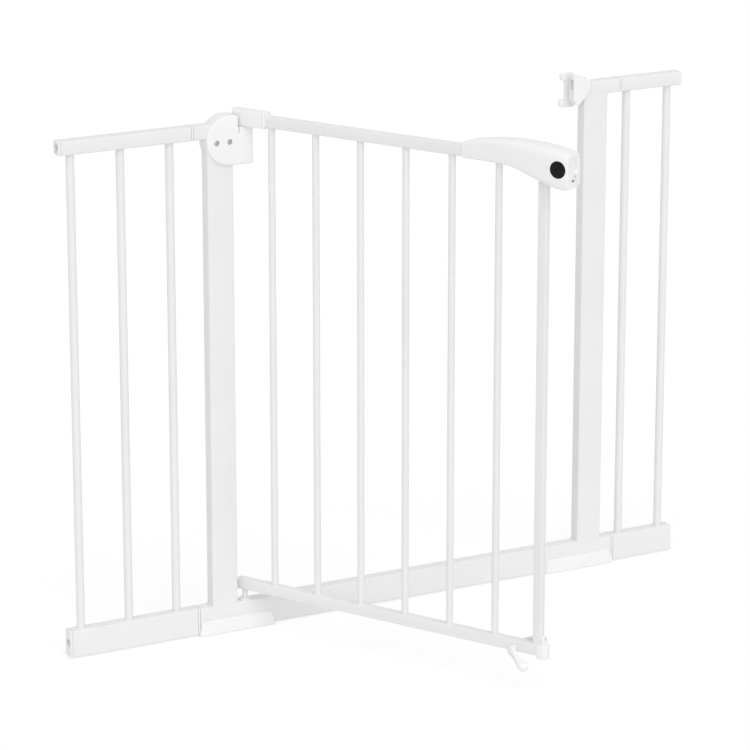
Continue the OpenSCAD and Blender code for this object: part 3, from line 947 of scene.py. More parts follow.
@dataclass(frozen=True)
class PowderCoat(Finish):
    """White powder coat: orange peel, a satin sheen and a faint drift of colour."""

    name: str = "white_powder_coat"
    slot: str = "white_steel"
    pale: Triple = (0.845, 0.845, 0.845)
    deep: Triple = (0.815, 0.815, 0.815)
    roughness: Pair = (0.34, 0.48)
    drift: Pair = (140, 3)
    sheen: Pair = (11, 3)
    bumps: Layers = ((26, 2, 0.25, 0.08), (1.7, 2, 0.3, 0.03), (0.35, 1, 0.15, 0.008))
    specular: float = 0.45


@dataclass(frozen=True)
class MouldedPlastic(Finish):
    """White moulded plastic with a fine spark-eroded grain."""

    name: str = "white_moulded_plastic"
    slot: str = "white_plastic"
    pale: Triple = (0.905, 0.905, 0.905)
    deep: Triple = (0.885, 0.885, 0.885)
    roughness: Pair = (0.46, 0.58)
    drift: Pair = (60, 2)
    sheen: Pair = (6, 3)
    bumps: Layers = ((18, 1, 0.2, 0.06), (0.45, 3, 0.35, 0.02))
    specular: float = 0.4


@dataclass(frozen=True)
class BlackPlastic(Finish):
    """Black button plastic: satin, with a fine grain and a faint drift of colour."""

    name: str = "black_button_plastic"
    slot: str = "black_plastic"
    pale: Triple = (0.006, 0.006, 0.0064)
    deep: Triple = (0.0025, 0.0025, 0.0028)
    roughness: Pair = (0.28, 0.45)
    drift: Pair = (7, 3)
    sheen: Pair = (4, 3)
    bumps: Layers = ((0.4, 2, 0.3, 0.02),)
    specular: float = 0.16


@dataclass(frozen=True)
class Zinc(Finish):
    """Plated steel, brushed along the piece."""

    name: str = "bright_zinc"
    slot: str = "bare_pin"
    pale: Triple = (0.66, 0.67, 0.69)
    deep: Triple = (0.48, 0.49, 0.51)
    roughness: Pair = (0.24, 0.42)
    drift: Pair = (2.5, 3)
    sheen: Pair = (3, 3)
    bumps: Layers = ((2.5, 3, 0.25, 0.01), (0.5, 2, 0.2, 0.006))
    stretch: Triple = (1, 1, 0.08)
    metallic: float = 1.0


POWDER = PowderCoat()
PLASTIC = MouldedPlastic()
# The floor shoes take the same moulded white plastic painted a little darker: painted shade for
# their tone down by the floor.
SHADED_SHOE_PLASTIC = MouldedPlastic("shaded_shoe_plastic", pale=(0.88,) * 3, deep=(0.86,) * 3)
BLACK = BlackPlastic()
PIN_ZINC = Zinc()
DARK_ZINC = Zinc("dark_zinc", "dark_screw", (0.62, 0.62, 0.63), (0.42, 0.42, 0.43), (0.22, 0.4))
SPRING_WIRE = Zinc(
    "spring_wire", "spring_steel", (0.62, 0.62, 0.63), (0.42, 0.42, 0.44), (0.2, 0.35)
)


# ---- what the parts share ----


@dataclass
class SteelTube:
    """Rectangular tube: its wall and its rounded edges."""

    wall: float
    corner: float
    segments: int = 4

    def build(self, name: str, room: Room, axis: Axis) -> Piece:
        """Makes one tube that fills a room.

        Args:
            name: The piece's name.
            room: The tube's outer sides.
            axis: The way it runs.

        Returns:
            The open-ended tube.
        """
        tube = room.block(name)
        with tube.editing("FACE", lambda f: abs(f.normal[axis.value[0]]) > 0.9):
            bpy.ops.mesh.delete(type="ONLY_FACE")
        return tube.bevelled(self.corner, self.segments).walled(self.wall)


@dataclass
class RoundBar:
    """A round bar with a weld bead at each end."""

    wall: float = 1.0
    bead: float = 0.75
    proud: float = 0.25
    sunk: float = 0.15
    rough: float = 0.12
    sides: int = 40

    def build(self, name: str, room: Room) -> Piece:
        """Makes one upright bar.

        Args:
            name: The piece's name.
            room: The space that it fills.

        Returns:
            The bar with its beads.
        """
        x, radius = room.x, (room.y1 - room.y0) / 2
        bar = Piece.rod(name, radius, (x, 0, room.z0), (x, 0, room.z1), self.sides, False)
        bar.walled(self.wall)
        for n, z in enumerate((room.z0 + self.sunk, room.z1 - self.sunk)):
            bead = Piece.ring("bead", radius + self.proud, self.bead, (x, 0, z))
            bar.gathered(bead.roughened(self.rough, n + 3))
        return bar

    def row(self, nodes: Sequence[str], rooms: Sequence[Room], body: Body = Body.FRAME) -> None:
        """Makes the first bar of a row and copies it for the others.

        Args:
            nodes: The nodes they stand for.
            rooms: The space of each.
            body: The body they ride on.
        """
        first = self.build(f"{nodes[0]}_tube", rooms[0])
        for node, room in list(zip(nodes, rooms))[1:]:
            shift = room.x - rooms[0].x
            first.copied(f"{node}_tube", (shift, 0, 0)).dressed(POWDER, node, body)
        first.dressed(POWDER, nodes[0], body)


@dataclass
class Screw:
    """A cross-recessed screw: a domed head on a plain shank, and the room it needs."""

    head: float = 3.5
    rise: float = 2.2
    shank: float = 2.0
    slot: Triple = (2.1, 0.9, 0.42)
    edge: float = 0.7
    lap: float = 0.4
    shank_fit: float = 0.05
    head_fit: float = 0.4

    def build(self, name: str, seat: Sequence[float], tip: Sequence[float], length: float) -> Piece:
        """Makes a screw.

        Args:
            name: The piece's name.
            seat: The middle of the head's underside.
            tip: A unit direction from the seat to the head's top.
            length: The shank's length under the head.

        Returns:
            The screw.
        """
        start, way = Vector(seat), Vector(tip)
        top = start + way * self.rise
        head = Piece.rod(name, self.head, start, top, 40).bevelled(self.edge, 4)
        root, end = start + way * self.lap, start - way * length
        head.fused(Piece.rod("shank", self.shank, root, end, 24))
        for reach in (Vector(self.slot), Vector(self.slot[::-1])):
            head.cut(Piece.block("slot", top - reach, top + reach))
        return head

    def spots(self, room: Room) -> list[Pair]:
        """Where two screws stand in their room: side by side, or one above the other.

        Args:
            room: Their space.

        Returns:
            The x and z of each.
        """
        if room.x1 - room.x0 > room.z1 - room.z0:
            return [(room.x0 + self.head, room.z), (room.x1 - self.head, room.z)]
        return [(room.x, room.z0 + self.head), (room.x, room.z1 - self.head)]

    def pair(self, name: str, room: Room, facing: int) -> Piece:
        """Makes the two screws of a room.

        Args:
            name: The piece's name.
            room: Their space.
            facing: -1 if their heads are in front, 1 if they are behind.

        Returns:
            The screws as one piece.
        """
        (x, z), (other_x, other_z) = self.spots(room)
        tip, end = (room.y0, room.y1)[::-facing]
        seat = tip - facing * self.rise
        first = self.build(name, (x, seat, z), (0, facing, 0), abs(end - seat))
        return first.gathered(first.copied("second", (other_x - x, 0, other_z - z)))

    def drill(self, at: Pair, y0: float, y1: float) -> Piece:
        """The room of a shank, along Y at an x and a z."""
        return Piece.rod_y("drill", self.shank + self.shank_fit, at, y0, y1, 24)

    def sink(self, at: Pair, y0: float, y1: float) -> Piece:
        """The room of a head, along Y at an x and a z."""
        return Piece.rod_y("sink", self.head + self.head_fit, at, y0, y1, 40)


@dataclass
class Bush:
    """A flanged bush for a hinge pin."""

    sleeve: float
    flange: float
    edge: float
    overlap: float
    bore: float = 4.05

    def build(self, name: str, node: str, seat: float) -> None:
        """Makes the bush.

        Args:
            name: The piece's name.
            node: The bush it stands for.
            seat: The height of its flange's underside.
        """
        room = Room.of(node)
        bush = Piece.rod_z(name, self.flange, seat, room.z1, 64).bevelled(self.edge, 3)
        bush.fused(Piece.rod_z("sleeve", self.sleeve, room.z0, seat + self.overlap))
        bush.cut(Piece.rod_z("bore", self.bore, room.z0 - 2, room.z1 + 2))
        bush.dressed(PLASTIC, node)


@dataclass
class HingePin:
    """A pin on the hinge line, chamfered at both ends."""

    chamfer: float = 0.8

    def build(self, name: str, node: str, finish: Finish) -> None:
        """Makes the pin.

        Args:
            name: The piece's name.
            node: The pin it stands for.
            finish: What its surface is.
        """
        room = Room.on_door(node)
        pin = Piece.rod_z(name, room.x1, room.z0, room.z1).bevelled(self.chamfer, 3)
        pin.dressed(finish, node, Body.DOOR)


# ---- the frame ----


@dataclass
class TubeFrame:
    """The fixed frame's steel: floor bar, uprights, stubs and the two extension panels."""

    tube: SteelTube = field(default_factory=lambda: SteelTube(1.5, 2.0))
    bar: RoundBar = field(default_factory=RoundBar)
    screw: Screw = field(default_factory=Screw)
    bush_hole: float = 6.0
    seam: float = 1.2
    seam_proud: Pair = (0.3, 0.12)
    seam_core: Triple = (1.5, 8.5, 9.0)

    def build(self) -> None:
        """Makes and dresses the frame's steel."""
        for side in ("left", "right"):
            for level in ("bottom", "top"):
                self._rail(f"{side}_{level}_rail")
        self._rail("top_stub_left")
        room = Room.of("threshold_bar")
        bar = self.tube.build("floor_bar", room, Axis.X)
        bar.cut(Piece.rod_z("bore", self.bush_hole, room.z1 - 6, room.z1 + 5))
        bar.dressed(POWDER, "threshold_bar")
        hinge = self.screw.spots(Room.of("hinge_screws"))
        low, high = self.screw.spots(Room.of("catch_screws"))
        self._drilled("left_upright", "upright_left", Axis.Z, -30, hinge)
        self._drilled("right_upright", "upright_right", Axis.Z, 0, [low])
        self._drilled("right_stub", "top_stub_right", Axis.X, 0, [high])
        for side, count in (("left", 3), ("right", 2)):
            nodes = [f"{side}_bar_{n + 1}" for n in range(count)]
            self.bar.row(nodes, [Room.of(node) for node in nodes])

    def _rail(self, node: str) -> None:
        """Makes one level tube in place of its CAD node."""
        self.tube.build(f"{node}_tube", Room.of(node), Axis.X).dressed(POWDER, node)

    def _drilled(
        self, name: str, node: str, axis: Axis, start: float, holes: Sequence[Pair]
    ) -> None:
        """Makes a tube with screw holes, and with weld seams where it stands upright.

        Args:
            name: The piece's name.
            node: The tube it stands for.
            axis: The way it runs.
            start: Where along y its holes start.
            holes: The holes' places, as x and z.
        """
        room = Room.of(node)
        tube = self.tube.build(name, room, axis)
        for hole in holes:
            tube.cut(self.screw.drill(hole, start, 30))
        if axis is Axis.Z:
            tube.gathered(*self._seams(room))
        tube.dressed(POWDER, node)

    def _seams(self, room: Room) -> list[Piece]:
        """Weld seams round an upright's two ends.

        Args:
            room: The upright's space.

        Returns:
            The two seams.
        """
        half, (side, face), (wall, deep, tall) = self.seam, self.seam_proud, self.seam_core
        made = []
        for n, z in enumerate((room.z0, room.z1)):
            low = (room.x0 - side, room.y0 - face, z - half)
            seam = Piece.block("seam", low, (room.x1 + side, room.y1 + face, z + half))
            low = (room.x0 + wall, -deep, z - tall)
            seam.cut(Piece.block("core", low, (room.x1 - wall, deep, z + tall)))
            made.append(seam.bevelled(half * 0.8, 3).roughened(0.05, n + 11))
        return made


@dataclass
class EndSocket:
    """The moulded socket in a rail's outer end that takes a wall spindle."""

    flange: float = 3.0
    bore: float = 5.2
    inset: float = 1.7
    dish: float = 2.0
    groove: float = 1.2
    deep: float = 0.9
    edge: float = 1.2
    lap: float = 1.5

    def build(self, node: str, side: int) -> None:
        """Makes one socket.

        Args:
            node: The socket it stands for.
            side: 1 if the rail runs towards +X from it, -1 if towards -X.
        """
        room = Room.of(node)
        outer, inner = (room.x0, room.x1)[::side]
        cap = room.block(f"{node}_cap", x0=outer, x1=outer + side * self.flange)
        plug = room.slimmed(self.inset).block("plug", x0=outer + side * self.lap, x1=inner)
        cap.bevelled(self.edge, 3).fused(plug)
        wide = self.bore + self.dish
        cap.cut(
            self._rod(room, wide, outer - side, outer + side * self.deep).cut(
                self._rod(room, wide - self.groove, outer - 2 * side, outer + 2 * side)
            )
        )
        cap.cut(self._rod(room, self.bore, outer - side, inner + side))
        cap.dressed(PLASTIC, node)

    @staticmethod
    def _rod(room: Room, radius: float, start: float, end: float) -> Piece:
        """A rod along X through a room's middle."""
        return Piece.rod("rod", radius, (start, 0, room.z), (end, 0, room.z))


@dataclass
class Coupling:
    """The moulded joint between two tubes: two plugs and a collar in the seam between them."""

    collar: float = 2.4
    inset: float = 1.7
    proud: float = 0.4
    wall: float = 2.0
    edge: float = 0.7

    def build(self, node: str) -> None:
        """Makes one coupling.

        Args:
            node: The coupling it stands for.
        """
        room = Room.of(node)
        low, high = room.x - self.collar / 2, room.x + self.collar / 2
        collar = room.block(f"{node}_collar", x0=low, x1=high).bevelled(self.edge, 3)
        out = self.proud + self.inset
        plug, hollow = room.slimmed(out).block("plug"), room.slimmed(out + self.wall)
        plug.cut(hollow.block("hollow", x0=room.x0 - 1, x1=low - 1))
        plug.cut(hollow.block("hollow", x0=high + 1, x1=room.x1 + 1))
        collar.fused(plug).dressed(PLASTIC, node)


@dataclass
class Foot:
    """A floor shoe: sloping walls, slanted ends and a channel for the floor bar."""

    slant: float = 5.0
    wall: float = 3.0
    base: float = 4.0
    tube_half: float = 10.0
    fit: float = 0.02
    sole: float = 2.0
    edge: float = 1.6
    collar_half: float = 2.2
    relief: float = 0.6

    def build(self, node: str, coupling: str) -> None:
        """Makes one shoe.

        Args:
            node: The shoe it stands for.
            coupling: The coupling whose collar it is relieved for.
        """
        room, seam = Room.of(node), Room.of(coupling).x
        side = [
            (room.x0, room.z0),
            (room.x1, room.z0),
            (room.x1, room.z0 + self.base),
            (room.x1 - self.slant, room.z1),
            (room.x0 + self.slant, room.z1),
            (room.x0, room.z0 + self.base),
        ]
        shoe = Piece.outline(f"{node}_shoe", side, Axis.Y, room.y0, room.y1)
        narrow = (self.tube_half + self.wall) / room.y1
        with shoe.editing("FACE", lambda f: f.normal.z > 0.9):
            bpy.ops.transform.resize(value=(1, narrow, 1), center_override=(0, 0, 0))
        shoe.bevelled(self.edge, 4, 12)
        high = room.z1 + 1
        for x0, x1, half, low in (
            (room.x0 - 1, room.x1 + 1, self.tube_half + self.fit, self.sole),
            (
                seam - self.collar_half,
                seam + self.collar_half,
                self.tube_half + self.relief,
                self.sole - self.relief,
            ),
        ):
            shoe.cut(Piece.block("channel", (x0, -half, low), (x1, half, high)))
        # The shoe's plastic is the moulded white plastic painted a little darker: painted shade.
        shoe.dressed(SHADED_SHOE_PLASTIC, node)


@dataclass
class HingeHousing:
    """The round housing clamped over the left upright's head, its screws and its bush."""

    drum: float = 36.0
    rim: float = 3.0
    corner: float = 4.0
    notch_drop: float = 9.0
    seat_gap: float = 0.3
    notch_x: float = -9.0
    slit: Triple = (2.4, 8.0, 4.5)
    hollow: float = 0.55
    hollow_drop: float = 8.4
    hollow_turn: float = 0.56 * math.pi
    hollow_bend: float = 0.8
    arm_turn: float = 12.5
    dimple: Triple = (4.8, 12.2, 1.9)
    hollow_steps: int = 12
    soft: Triple = (0.3, 0.5, 0.4)  # the roundings of the slit, the hollow and the dimple
    flange_fit: float = 0.05
    bush_room: Pair = (28.0, 12.0)
    screw_reach: float = 2.5
    screw_end: float = 1.5
    sunk: float = 0.4
    bush: Bush = field(default_factory=lambda: Bush(7.0, 8.5, 0.6, 1.0))
    screw: Screw = field(default_factory=Screw)

    def build(self) -> None:
        """Makes the two shells, the clamping screws and the top bush."""
        arm = Room.on_door("hinge_arm").z0
        self.notch_z, self.seat_z = arm - self.notch_drop, arm - self.seat_gap
        for side in ("front", "back"):
            self._shell(f"hinge_shell_{side}", f"hinge_housing_{side}", side == "front")
        screws = Room.of("hinge_screws")
        self.screw.pair("hinge_screw_pair", screws, -1).dressed(DARK_ZINC, "hinge_screws")
        self.bush.build("top_bush", "top_hinge_bush", self.notch_z)

    def _outline(self, room: Room) -> list[Pair]:
        """The housing's side view: a drum squared off towards the door.

        Args:
            room: The shell's space.

        Returns:
            The outline's corners.
        """
        middle = (room.x0 + self.drum, room.z0 + self.drum)
        start = math.degrees(math.acos((self.notch_x - middle[0]) / self.drum))
        corner = (room.x1 - self.corner, room.z0 + self.corner)
        return [
            *arc(middle, self.drum, start, 270, 56),
            *arc(corner, self.corner, 270, 360, 8),
            (room.x1, self.seat_z),
            (self.notch_x, self.seat_z),
        ]

    def _shell(self, name: str, node: str, is_front: bool) -> None:
        """Makes one shell, its outer rim rounded and its inside cut for what it holds.

        Args:
            name: The piece's name.
            node: The shell it stands for.
            is_front: Whether it is the shell with the screws.
        """
        room, stub = Room.of(node), Room.of("top_stub_left")
        shell = Piece.outline(name, self._outline(room), Axis.Y, room.y0, room.y1)
        shell.rimmed(Axis.Y, room.y0 if is_front else room.y1, self.rim, 5)
        z, high = self.notch_z, self.notch_z + 2 * self.drum
        below, above = self.bush_room
        shell.cut(
            Room.of("upright_left").block("upright", z0=room.z0 - 5, z1=stub.z0 + 1),
            stub.block("stub"),
            Piece.rod_z("turning_room", self.arm_turn, self.seat_z, high, 64),
            Piece.rod_z("flange_room", self.bush.flange + self.flange_fit, z, high, 64),
            Piece.rod_z("bush_room", self.bush.sleeve, z - below, z + above),
        )
        if is_front:
            self._relieved(shell, room)
        reach, end = self.screw_reach, room.y1 - self.screw_end
        for spot in self.screw.spots(Room.of("hinge_screws")):
            low, high = (room.y0 - 5, reach) if is_front else (-reach, end)
            shell.cut(self.screw.drill(spot, low, high))
            if is_front:
                shell.cut(self.screw.sink(spot, low, room.y0 + self.screw.rise + self.sunk))
        shell.dressed(PLASTIC, node)

    def _relieved(self, shell: Piece, room: Room) -> None:
        """Cuts the front's slit, and the hollow with its dimple under the arm.

        Args:
            shell: The front shell.
            room: Its space.
        """
        (wide, high, deep), seat, front = self.slit, self.seat_z, room.y0
        slit_edge, hollow_edge, dimple_edge = self.soft
        edge, end = self.notch_x + wide, room.x1 + 2
        low = (self.notch_x, front - 5, seat - high)
        slit = Piece.block("slit", low, (edge, front + deep, seat + 5))
        shell.cut(slit.bevelled(slit_edge, 2))
        start = edge - 0.2
        rim = [(start, seat + 4)]
        for share in (n / self.hollow_steps for n in range(self.hollow_steps + 1)):
            drop = self.hollow_drop * math.sin(self.hollow_turn * share) ** self.hollow_bend
            rim.append((start + (end - edge) * share, seat - high - drop))
        rim.append((end, seat + 4))
        hollow = Piece.outline("hollow", rim, Axis.Y, front - 6, front + self.hollow)
        shell.cut(hollow.bevelled(hollow_edge, 3))
        x, drop, radius = self.dimple
        dimple = Piece.rod_y("dimple", radius, (x, seat - drop), front - 9, front + 1.5, 24)
        shell.cut(dimple.bevelled(dimple_edge, 2))


@dataclass
class Catch:
    """The catch on the right upright: shield, ramp, pocket and back stop."""

    edge: float = 1.3
    soft: float = 0.8
    ramp: float = -3.0
    cheek: float = 4.0
    bay: float = 7.5
    rear: float = 10.0
    tenon: float = 1.7
    web: float = 4.0
    arm: float = 6.5
    arm_edge: float = 1.4
    screw: Screw = field(default_factory=Screw)

    def build(self) -> None:
        """Makes the shield with its cheek, the back stop and the rear screws."""
        self._shield()
        self._striker()
        screws = Room.of("catch_screws")
        self.screw.pair("catch_screw_pair", screws, 1).dressed(DARK_ZINC, "catch_screws")

    def _shield(self) -> None:
        """Makes the shield with its ramp and its pocket for the tongue."""
        room, stub = Room.of("catch_block"), Room.of("top_stub_right")
        upright, tongue = Room.of("upright_right"), Room.on_door("latch_tongue")
        x0, right, top = room.x0, upright.x0, stub.z1
        back, bay = upright.y1, room.x0 + self.bay
        corners = [
            (x0, top - 26),
            (x0 + 5.5, top - 35.5),
            (right + 8, top - 9),
            (right + 8, top + 5),
            (x0, top + 13),
        ]
        rounded = filleted(corners, (2, 1.5, 4, 4, 1.5), 4)
        shield = Piece.outline("catch_shield", rounded, Axis.Y, room.y0, room.y1)
        shield.rimmed(Axis.Y, room.y0, self.edge, 4)
        low, high = (right - 7, back, stub.z0 - 11), (right + 14, back + self.cheek, top + 4)
        shield.fused(Piece.block("cheek", low, high).bevelled(self.soft, 3))
        front, end = room.y0 - 1, right + 2
        ramp = [(x0 - 1, self.ramp), (x0, self.ramp), (end, room.y0), (end, front), (x0 - 1, front)]
        shield.cut(
            Piece.block("frame_room", (right, upright.y0, 0), (right + PAST, back, top)),
            Piece.block("behind", (right, back + self.cheek, 0), (right + PAST, PAST, OVERHEAD)),
            Piece.outline("ramp", ramp, Axis.Z, stub.z0 - 30, top + 50),
            Piece.block("pocket", (x0 - 1, -1.5, tongue.z0 - 1), (bay, 8, tongue.z0 + 14)),
            Piece.block("rear_room", (x0 - 1, self.rear, 0), (bay, PAST, OVERHEAD)),
        )
        shield.fused(stub.slimmed(self.tenon).block("tenon", x0=right - 0.5, x1=right + 5))
        shield.dressed(PLASTIC, "catch_block")

    def _striker(self) -> None:
        """Makes the back stop: a web and two arms with round ends."""
        room, x0 = Room.of("catch_striker"), Room.of("catch_block").x0
        top, front, end = Room.of("top_stub_right").z1, room.y0, room.x1
        low, high = (x0 - 2.5, front, top - 34), (end, front + self.web, top + 4)
        web = Piece.block("back_stop", low, high).bevelled(self.soft, 3)
        for middle, radius, z in ((x0 - 3.5, 5.5, top + 4.5), (x0 - 5, 6.0, top - 35)):
            side = [*arc((middle, z), radius, 90, 270, 16), (end, z - radius), (end, z + radius)]
            arm = Piece.outline("arm", side, Axis.Y, front, front + self.arm)
            web.fused(arm.bevelled(self.arm_edge, 4))
        web.dressed(PLASTIC, "catch_striker")


# ---- the door ----


@dataclass
class DoorPanel:
    """The door's steel: rails, bars and end post, with the plug at its hinge end."""

    tube: SteelTube = field(default_factory=lambda: SteelTube(1.2, 1.6))
    bar: RoundBar = field(default_factory=RoundBar)
    bars: int = 6
    pin_hole: float = 4.05
    pin: float = 4.0
    stop_hole: float = 3.05
    plug_inset: float = 1.3
    plug_edge: float = 0.7
    dimple: float = 3.5

    def build(self) -> None:
        """Makes the rails, the post, the bars, the plug and the bottom pin."""
        for name, node, axis in (
            ("door_rail_top", "door_top_rail", Axis.X),
            ("door_rail_bottom", "door_bottom_rail", Axis.X),
            ("end_post", "door_end_post", Axis.Z),
        ):
            room, stop = Room.on_door(node), Room.on_door("stop_lever_pin")
            tube = self.tube.build(name, room, axis)
            if node == "door_bottom_rail":
                tube.cut(
                    Piece.rod_z("drill", self.pin_hole, room.z0 - 3, room.z0 + 6),
                    Piece.rod_y("drill", self.stop_hole, (stop.x, stop.z), -20, 20),
                )
            tube.dressed(POWDER, node, Body.DOOR)
        nodes = [f"door_bar_{n + 1}" for n in range(self.bars)]
        self.bar.row(nodes, [Room.on_door(node) for node in nodes], Body.DOOR)
        self._plug()
        HingePin().build("bottom_pin", "bottom_hinge_pin", POWDER)

    def _plug(self) -> None:
        """Makes the plug that closes the bottom rail's hinge end."""
        room, rail = Room.on_door("hinge_end_plug"), Room.on_door("door_bottom_rail")
        plug = room.block("rail_end_plug", x1=rail.x0).bevelled(self.plug_edge, 3)
        plug.fused(room.slimmed(self.plug_inset).block("core", x0=room.x0 + 1))
        start, end = (room.x0 - 1, 0, room.z), (room.x0 + 3, 0, room.z)
        plug.cut(
            Piece.rod("dimple", self.dimple, start, end),
            Piece.rod_z("bore", self.pin, room.z0 - 2, room.z1 - 4),
        )
        plug.dressed(PLASTIC, "hinge_end_plug", Body.DOOR)


@dataclass
class HingeArm:
    """The moulded sleeve on the rail's hinge end, its collar and the top pin."""

    tip: float = 11.5
    edge: float = 1.5
    rail_half: float = 7.0
    pin: float = 4.0

    def build(self) -> None:
        """Makes the sleeve, the collar and the pin."""
        room, rail = Room.on_door("hinge_arm"), Room.on_door("door_top_rail")
        sides = {"y0": -self.rail_half, "y1": self.rail_half}
        half = room.y1
        lean = math.degrees(math.asin(half / self.tip))
        tip = arc((0, 0), self.tip, 180 - lean, 180 + lean, 12)
        plan = [*tip, (room.x1, -half), (room.x1, half)]
        arm = Piece.outline("hinge_sleeve", plan, Axis.Z, room.z0, room.z1)
        arm.bevelled(self.edge, 4).cut(
            rail.block("rail_room", x1=room.x1 + 2, **sides),
            Piece.rod_z("pin_room", self.pin, room.z0 - 1, rail.z1 + 1),
        )
        arm.dressed(PLASTIC, "hinge_arm", Body.DOOR)
        room = Room.on_door("arm_collar")
        collar = room.block("sleeve_collar").bevelled(self.edge, 4)
        collar.cut(rail.block("rail_room", x0=room.x0 - 2, x1=room.x1 + 2, **sides))
        collar.dressed(PLASTIC, "arm_collar", Body.DOOR)
        HingePin().build("top_pin", "top_hinge_pin", PIN_ZINC)


@dataclass
class FreeEndCap:
    """The cap on the bottom rail's free end: a round nose and an ear with a hole."""

    nose: float = 8.0
    ear: float = 5.5
    ear_rise: float = 7.5
    ear_x: Pair = (-1.3, 2.7)
    ear_edge: float = 0.7
    hole: float = 2.2
    hole_rise: float = 1.0
    inset: float = 1.3
    edge: float = 1.2

    def build(self) -> None:
        """Makes the cap."""
        room, rail = Room.on_door("free_end_cap"), Room.on_door("door_bottom_rail")
        mid, half, top = room.x1 - self.nose, self.ear, rail.z1
        nose = arc((mid, 0), self.nose, -90, 90, 24)
        plan = [*nose, (rail.x1, self.nose), (rail.x1, -self.nose)]
        cap = Piece.outline("rail_end_cap", plan, Axis.Z, room.z0, top)
        cap.bevelled(self.edge, 4, 50)
        ear_z = top + self.ear_rise
        side = [*arc((0, ear_z), half, 0, 180, 20), (-half, top - 4), (half, top - 4)]
        ear = Piece.outline("ear", side, Axis.X, mid + self.ear_x[0], mid + self.ear_x[1])
        cap.fused(ear.bevelled(self.ear_edge, 3))
        hole_z = ear_z + self.hole_rise
        cap.cut(Piece.rod("hole", self.hole, (mid - 4, 0, hole_z), (mid + 6, 0, hole_z), 32))
        cap.fused(rail.slimmed(self.inset).block("plug", x0=room.x0, x1=rail.x1 + 1))
        cap.dressed(PLASTIC, "free_end_cap", Body.DOOR)


@dataclass
class Handle:
    """The moulded handle: two shells with a rounded crown, an end plate and two screws."""

    tip: float = 9.0
    top_round: float = 0.62
    low_round: float = 0.3
    end_round: float = 2.6
    bay: float = 13.5
    bay_length: float = 36.0
    bay_drop: float = 33.0
    bay_rise: float = 3.0
    button_fit: float = 0.12
    slot_half: float = 3.7
    dot: float = 1.3
    dots: tuple[Pair, ...] = ((-4.4, 11.6), (4.8, 12.2))
    dot_deep: float = 1.0
    hole_edge: float = 1.3
    screw: Screw = field(default_factory=Screw)

    def build(self) -> None:
        """Makes the shells, the end plate and the screws."""
        self._shells()
        self._end_plate()
        screws = Room.on_door("handle_screws")
        pair = self.screw.pair("handle_screw_pair", screws, 1)
        pair.dressed(DARK_ZINC, "handle_screws", Body.DOOR)

    def _stations(self, room: Room, rail: Room) -> list[Station]:
        """The handle's sections, from its tip to its free end.

        Args:
            room: The handle's space.
            rail: The rail's space.

        Returns:
            The sections in order.
        """
        x1, top, low = room.x1, rail.z1, rail.z0 - 1.2
        grow = -room.y0 - self.tip
        rows = [
            (room.x0, 0.0, low, top + 4.7),
            (x1 - 155, 0.1, low, top + 9.2),
            (x1 - 139, 0.2, low, top + 12.7),
            (x1 - 112, 0.45, low, top + 16.2),
            (x1 - 92, 0.62, low - 1.2, top + 17.3),
            (x1 - 74, 0.78, top - 23, top + 17.5),
            (x1 - 54, 0.93, top - 29, top + 16.9),
            (x1 - 34, 1.0, top - 35.2, top + 15.4),
            (x1 - 18, 1.0, top - 39.4, top + 13.2),
            (x1 - 8, 1.0, top - 39.9, top + 10.9),
            (x1, 0.97, top - 38.6, top + 8.3),
        ]
        return [
            Station(x, -self.tip - grow * share, self.tip + grow * share, z0, z1)
            for x, share, z0, z1 in rows
        ]

    def _shells(self) -> None:
        """Makes the handle whole, hollows it and parts it into its two shells."""
        room, rail = Room.on_door("handle_front"), Room.on_door("door_top_rail")
        x1, top, bay, depth = room.x1, rail.z1, self.bay, -room.y0
        radii = (self.low_round, self.low_round, self.top_round, self.top_round)
        section = filleted(SQUARE, radii, 7)
        stations = smooth_run(self._stations(room, rail), 4)
        whole = Piece.run("handle_shell_front", section, stations)
        whole.rimmed(Axis.X, x1, self.end_round, 5)
        low = (x1 - self.bay_length, -bay, top - self.bay_drop)
        whole.cut(Piece.block("bay", low, (x1 + 1, bay, top + self.bay_rise)))
        button = Room.on_door("release_button")
        radius = (button.x1 - button.x0) / 2 + self.button_fit
        at = (button.x, button.z)
        whole.cut(Piece.rod_y("button_room", radius, at, -depth - 5, 2 - bay, 72))
        screws = Room.on_door("handle_screws")
        seat = screws.y1 - self.screw.rise
        for at in self.screw.spots(screws):
            whole.cut(
                self.screw.drill(at, -depth / 3, seat + 1), self.screw.sink(at, seat, depth + 4)
            )
        back = whole.copied("handle_shell_back", (0, 0, 0))
        whole.halved(True).dressed(PLASTIC, "handle_front", Body.DOOR)
        back.halved(False).dressed(PLASTIC, "handle_back", Body.DOOR)

    def _end_plate(self) -> None:
        """Makes the plate with the tongue's slot, a small slot, a hole and two dots."""
        room, z = Room.on_door("handle_end_plate"), Room.on_door("latch_tongue").z
        x0, end, x1 = room.x0 - 9, room.x1, room.x1 + 9
        half = self.slot_half
        plate = room.block("latch_end_plate")
        plate.cut(
            Piece.block("slot", (x0, -0.7, z - half), (x1, 6.7, z + half)),
            Piece.block("small_slot", (end - 0.8, -0.5, z - 8.2), (x1, 6, z - 6.3)),
            Piece.block("hole", (x0, -4, z - 14), (x1, 3.4, z - 11)).bevelled(self.hole_edge, 4),
        )
        for y, rise in self.dots:
            start = (end - self.dot_deep, y, z + rise)
            plate.cut(Piece.rod("dot", self.dot, start, (x1, y, z + rise), 24))
        plate.dressed(PLASTIC, "handle_end_plate", Body.DOOR)


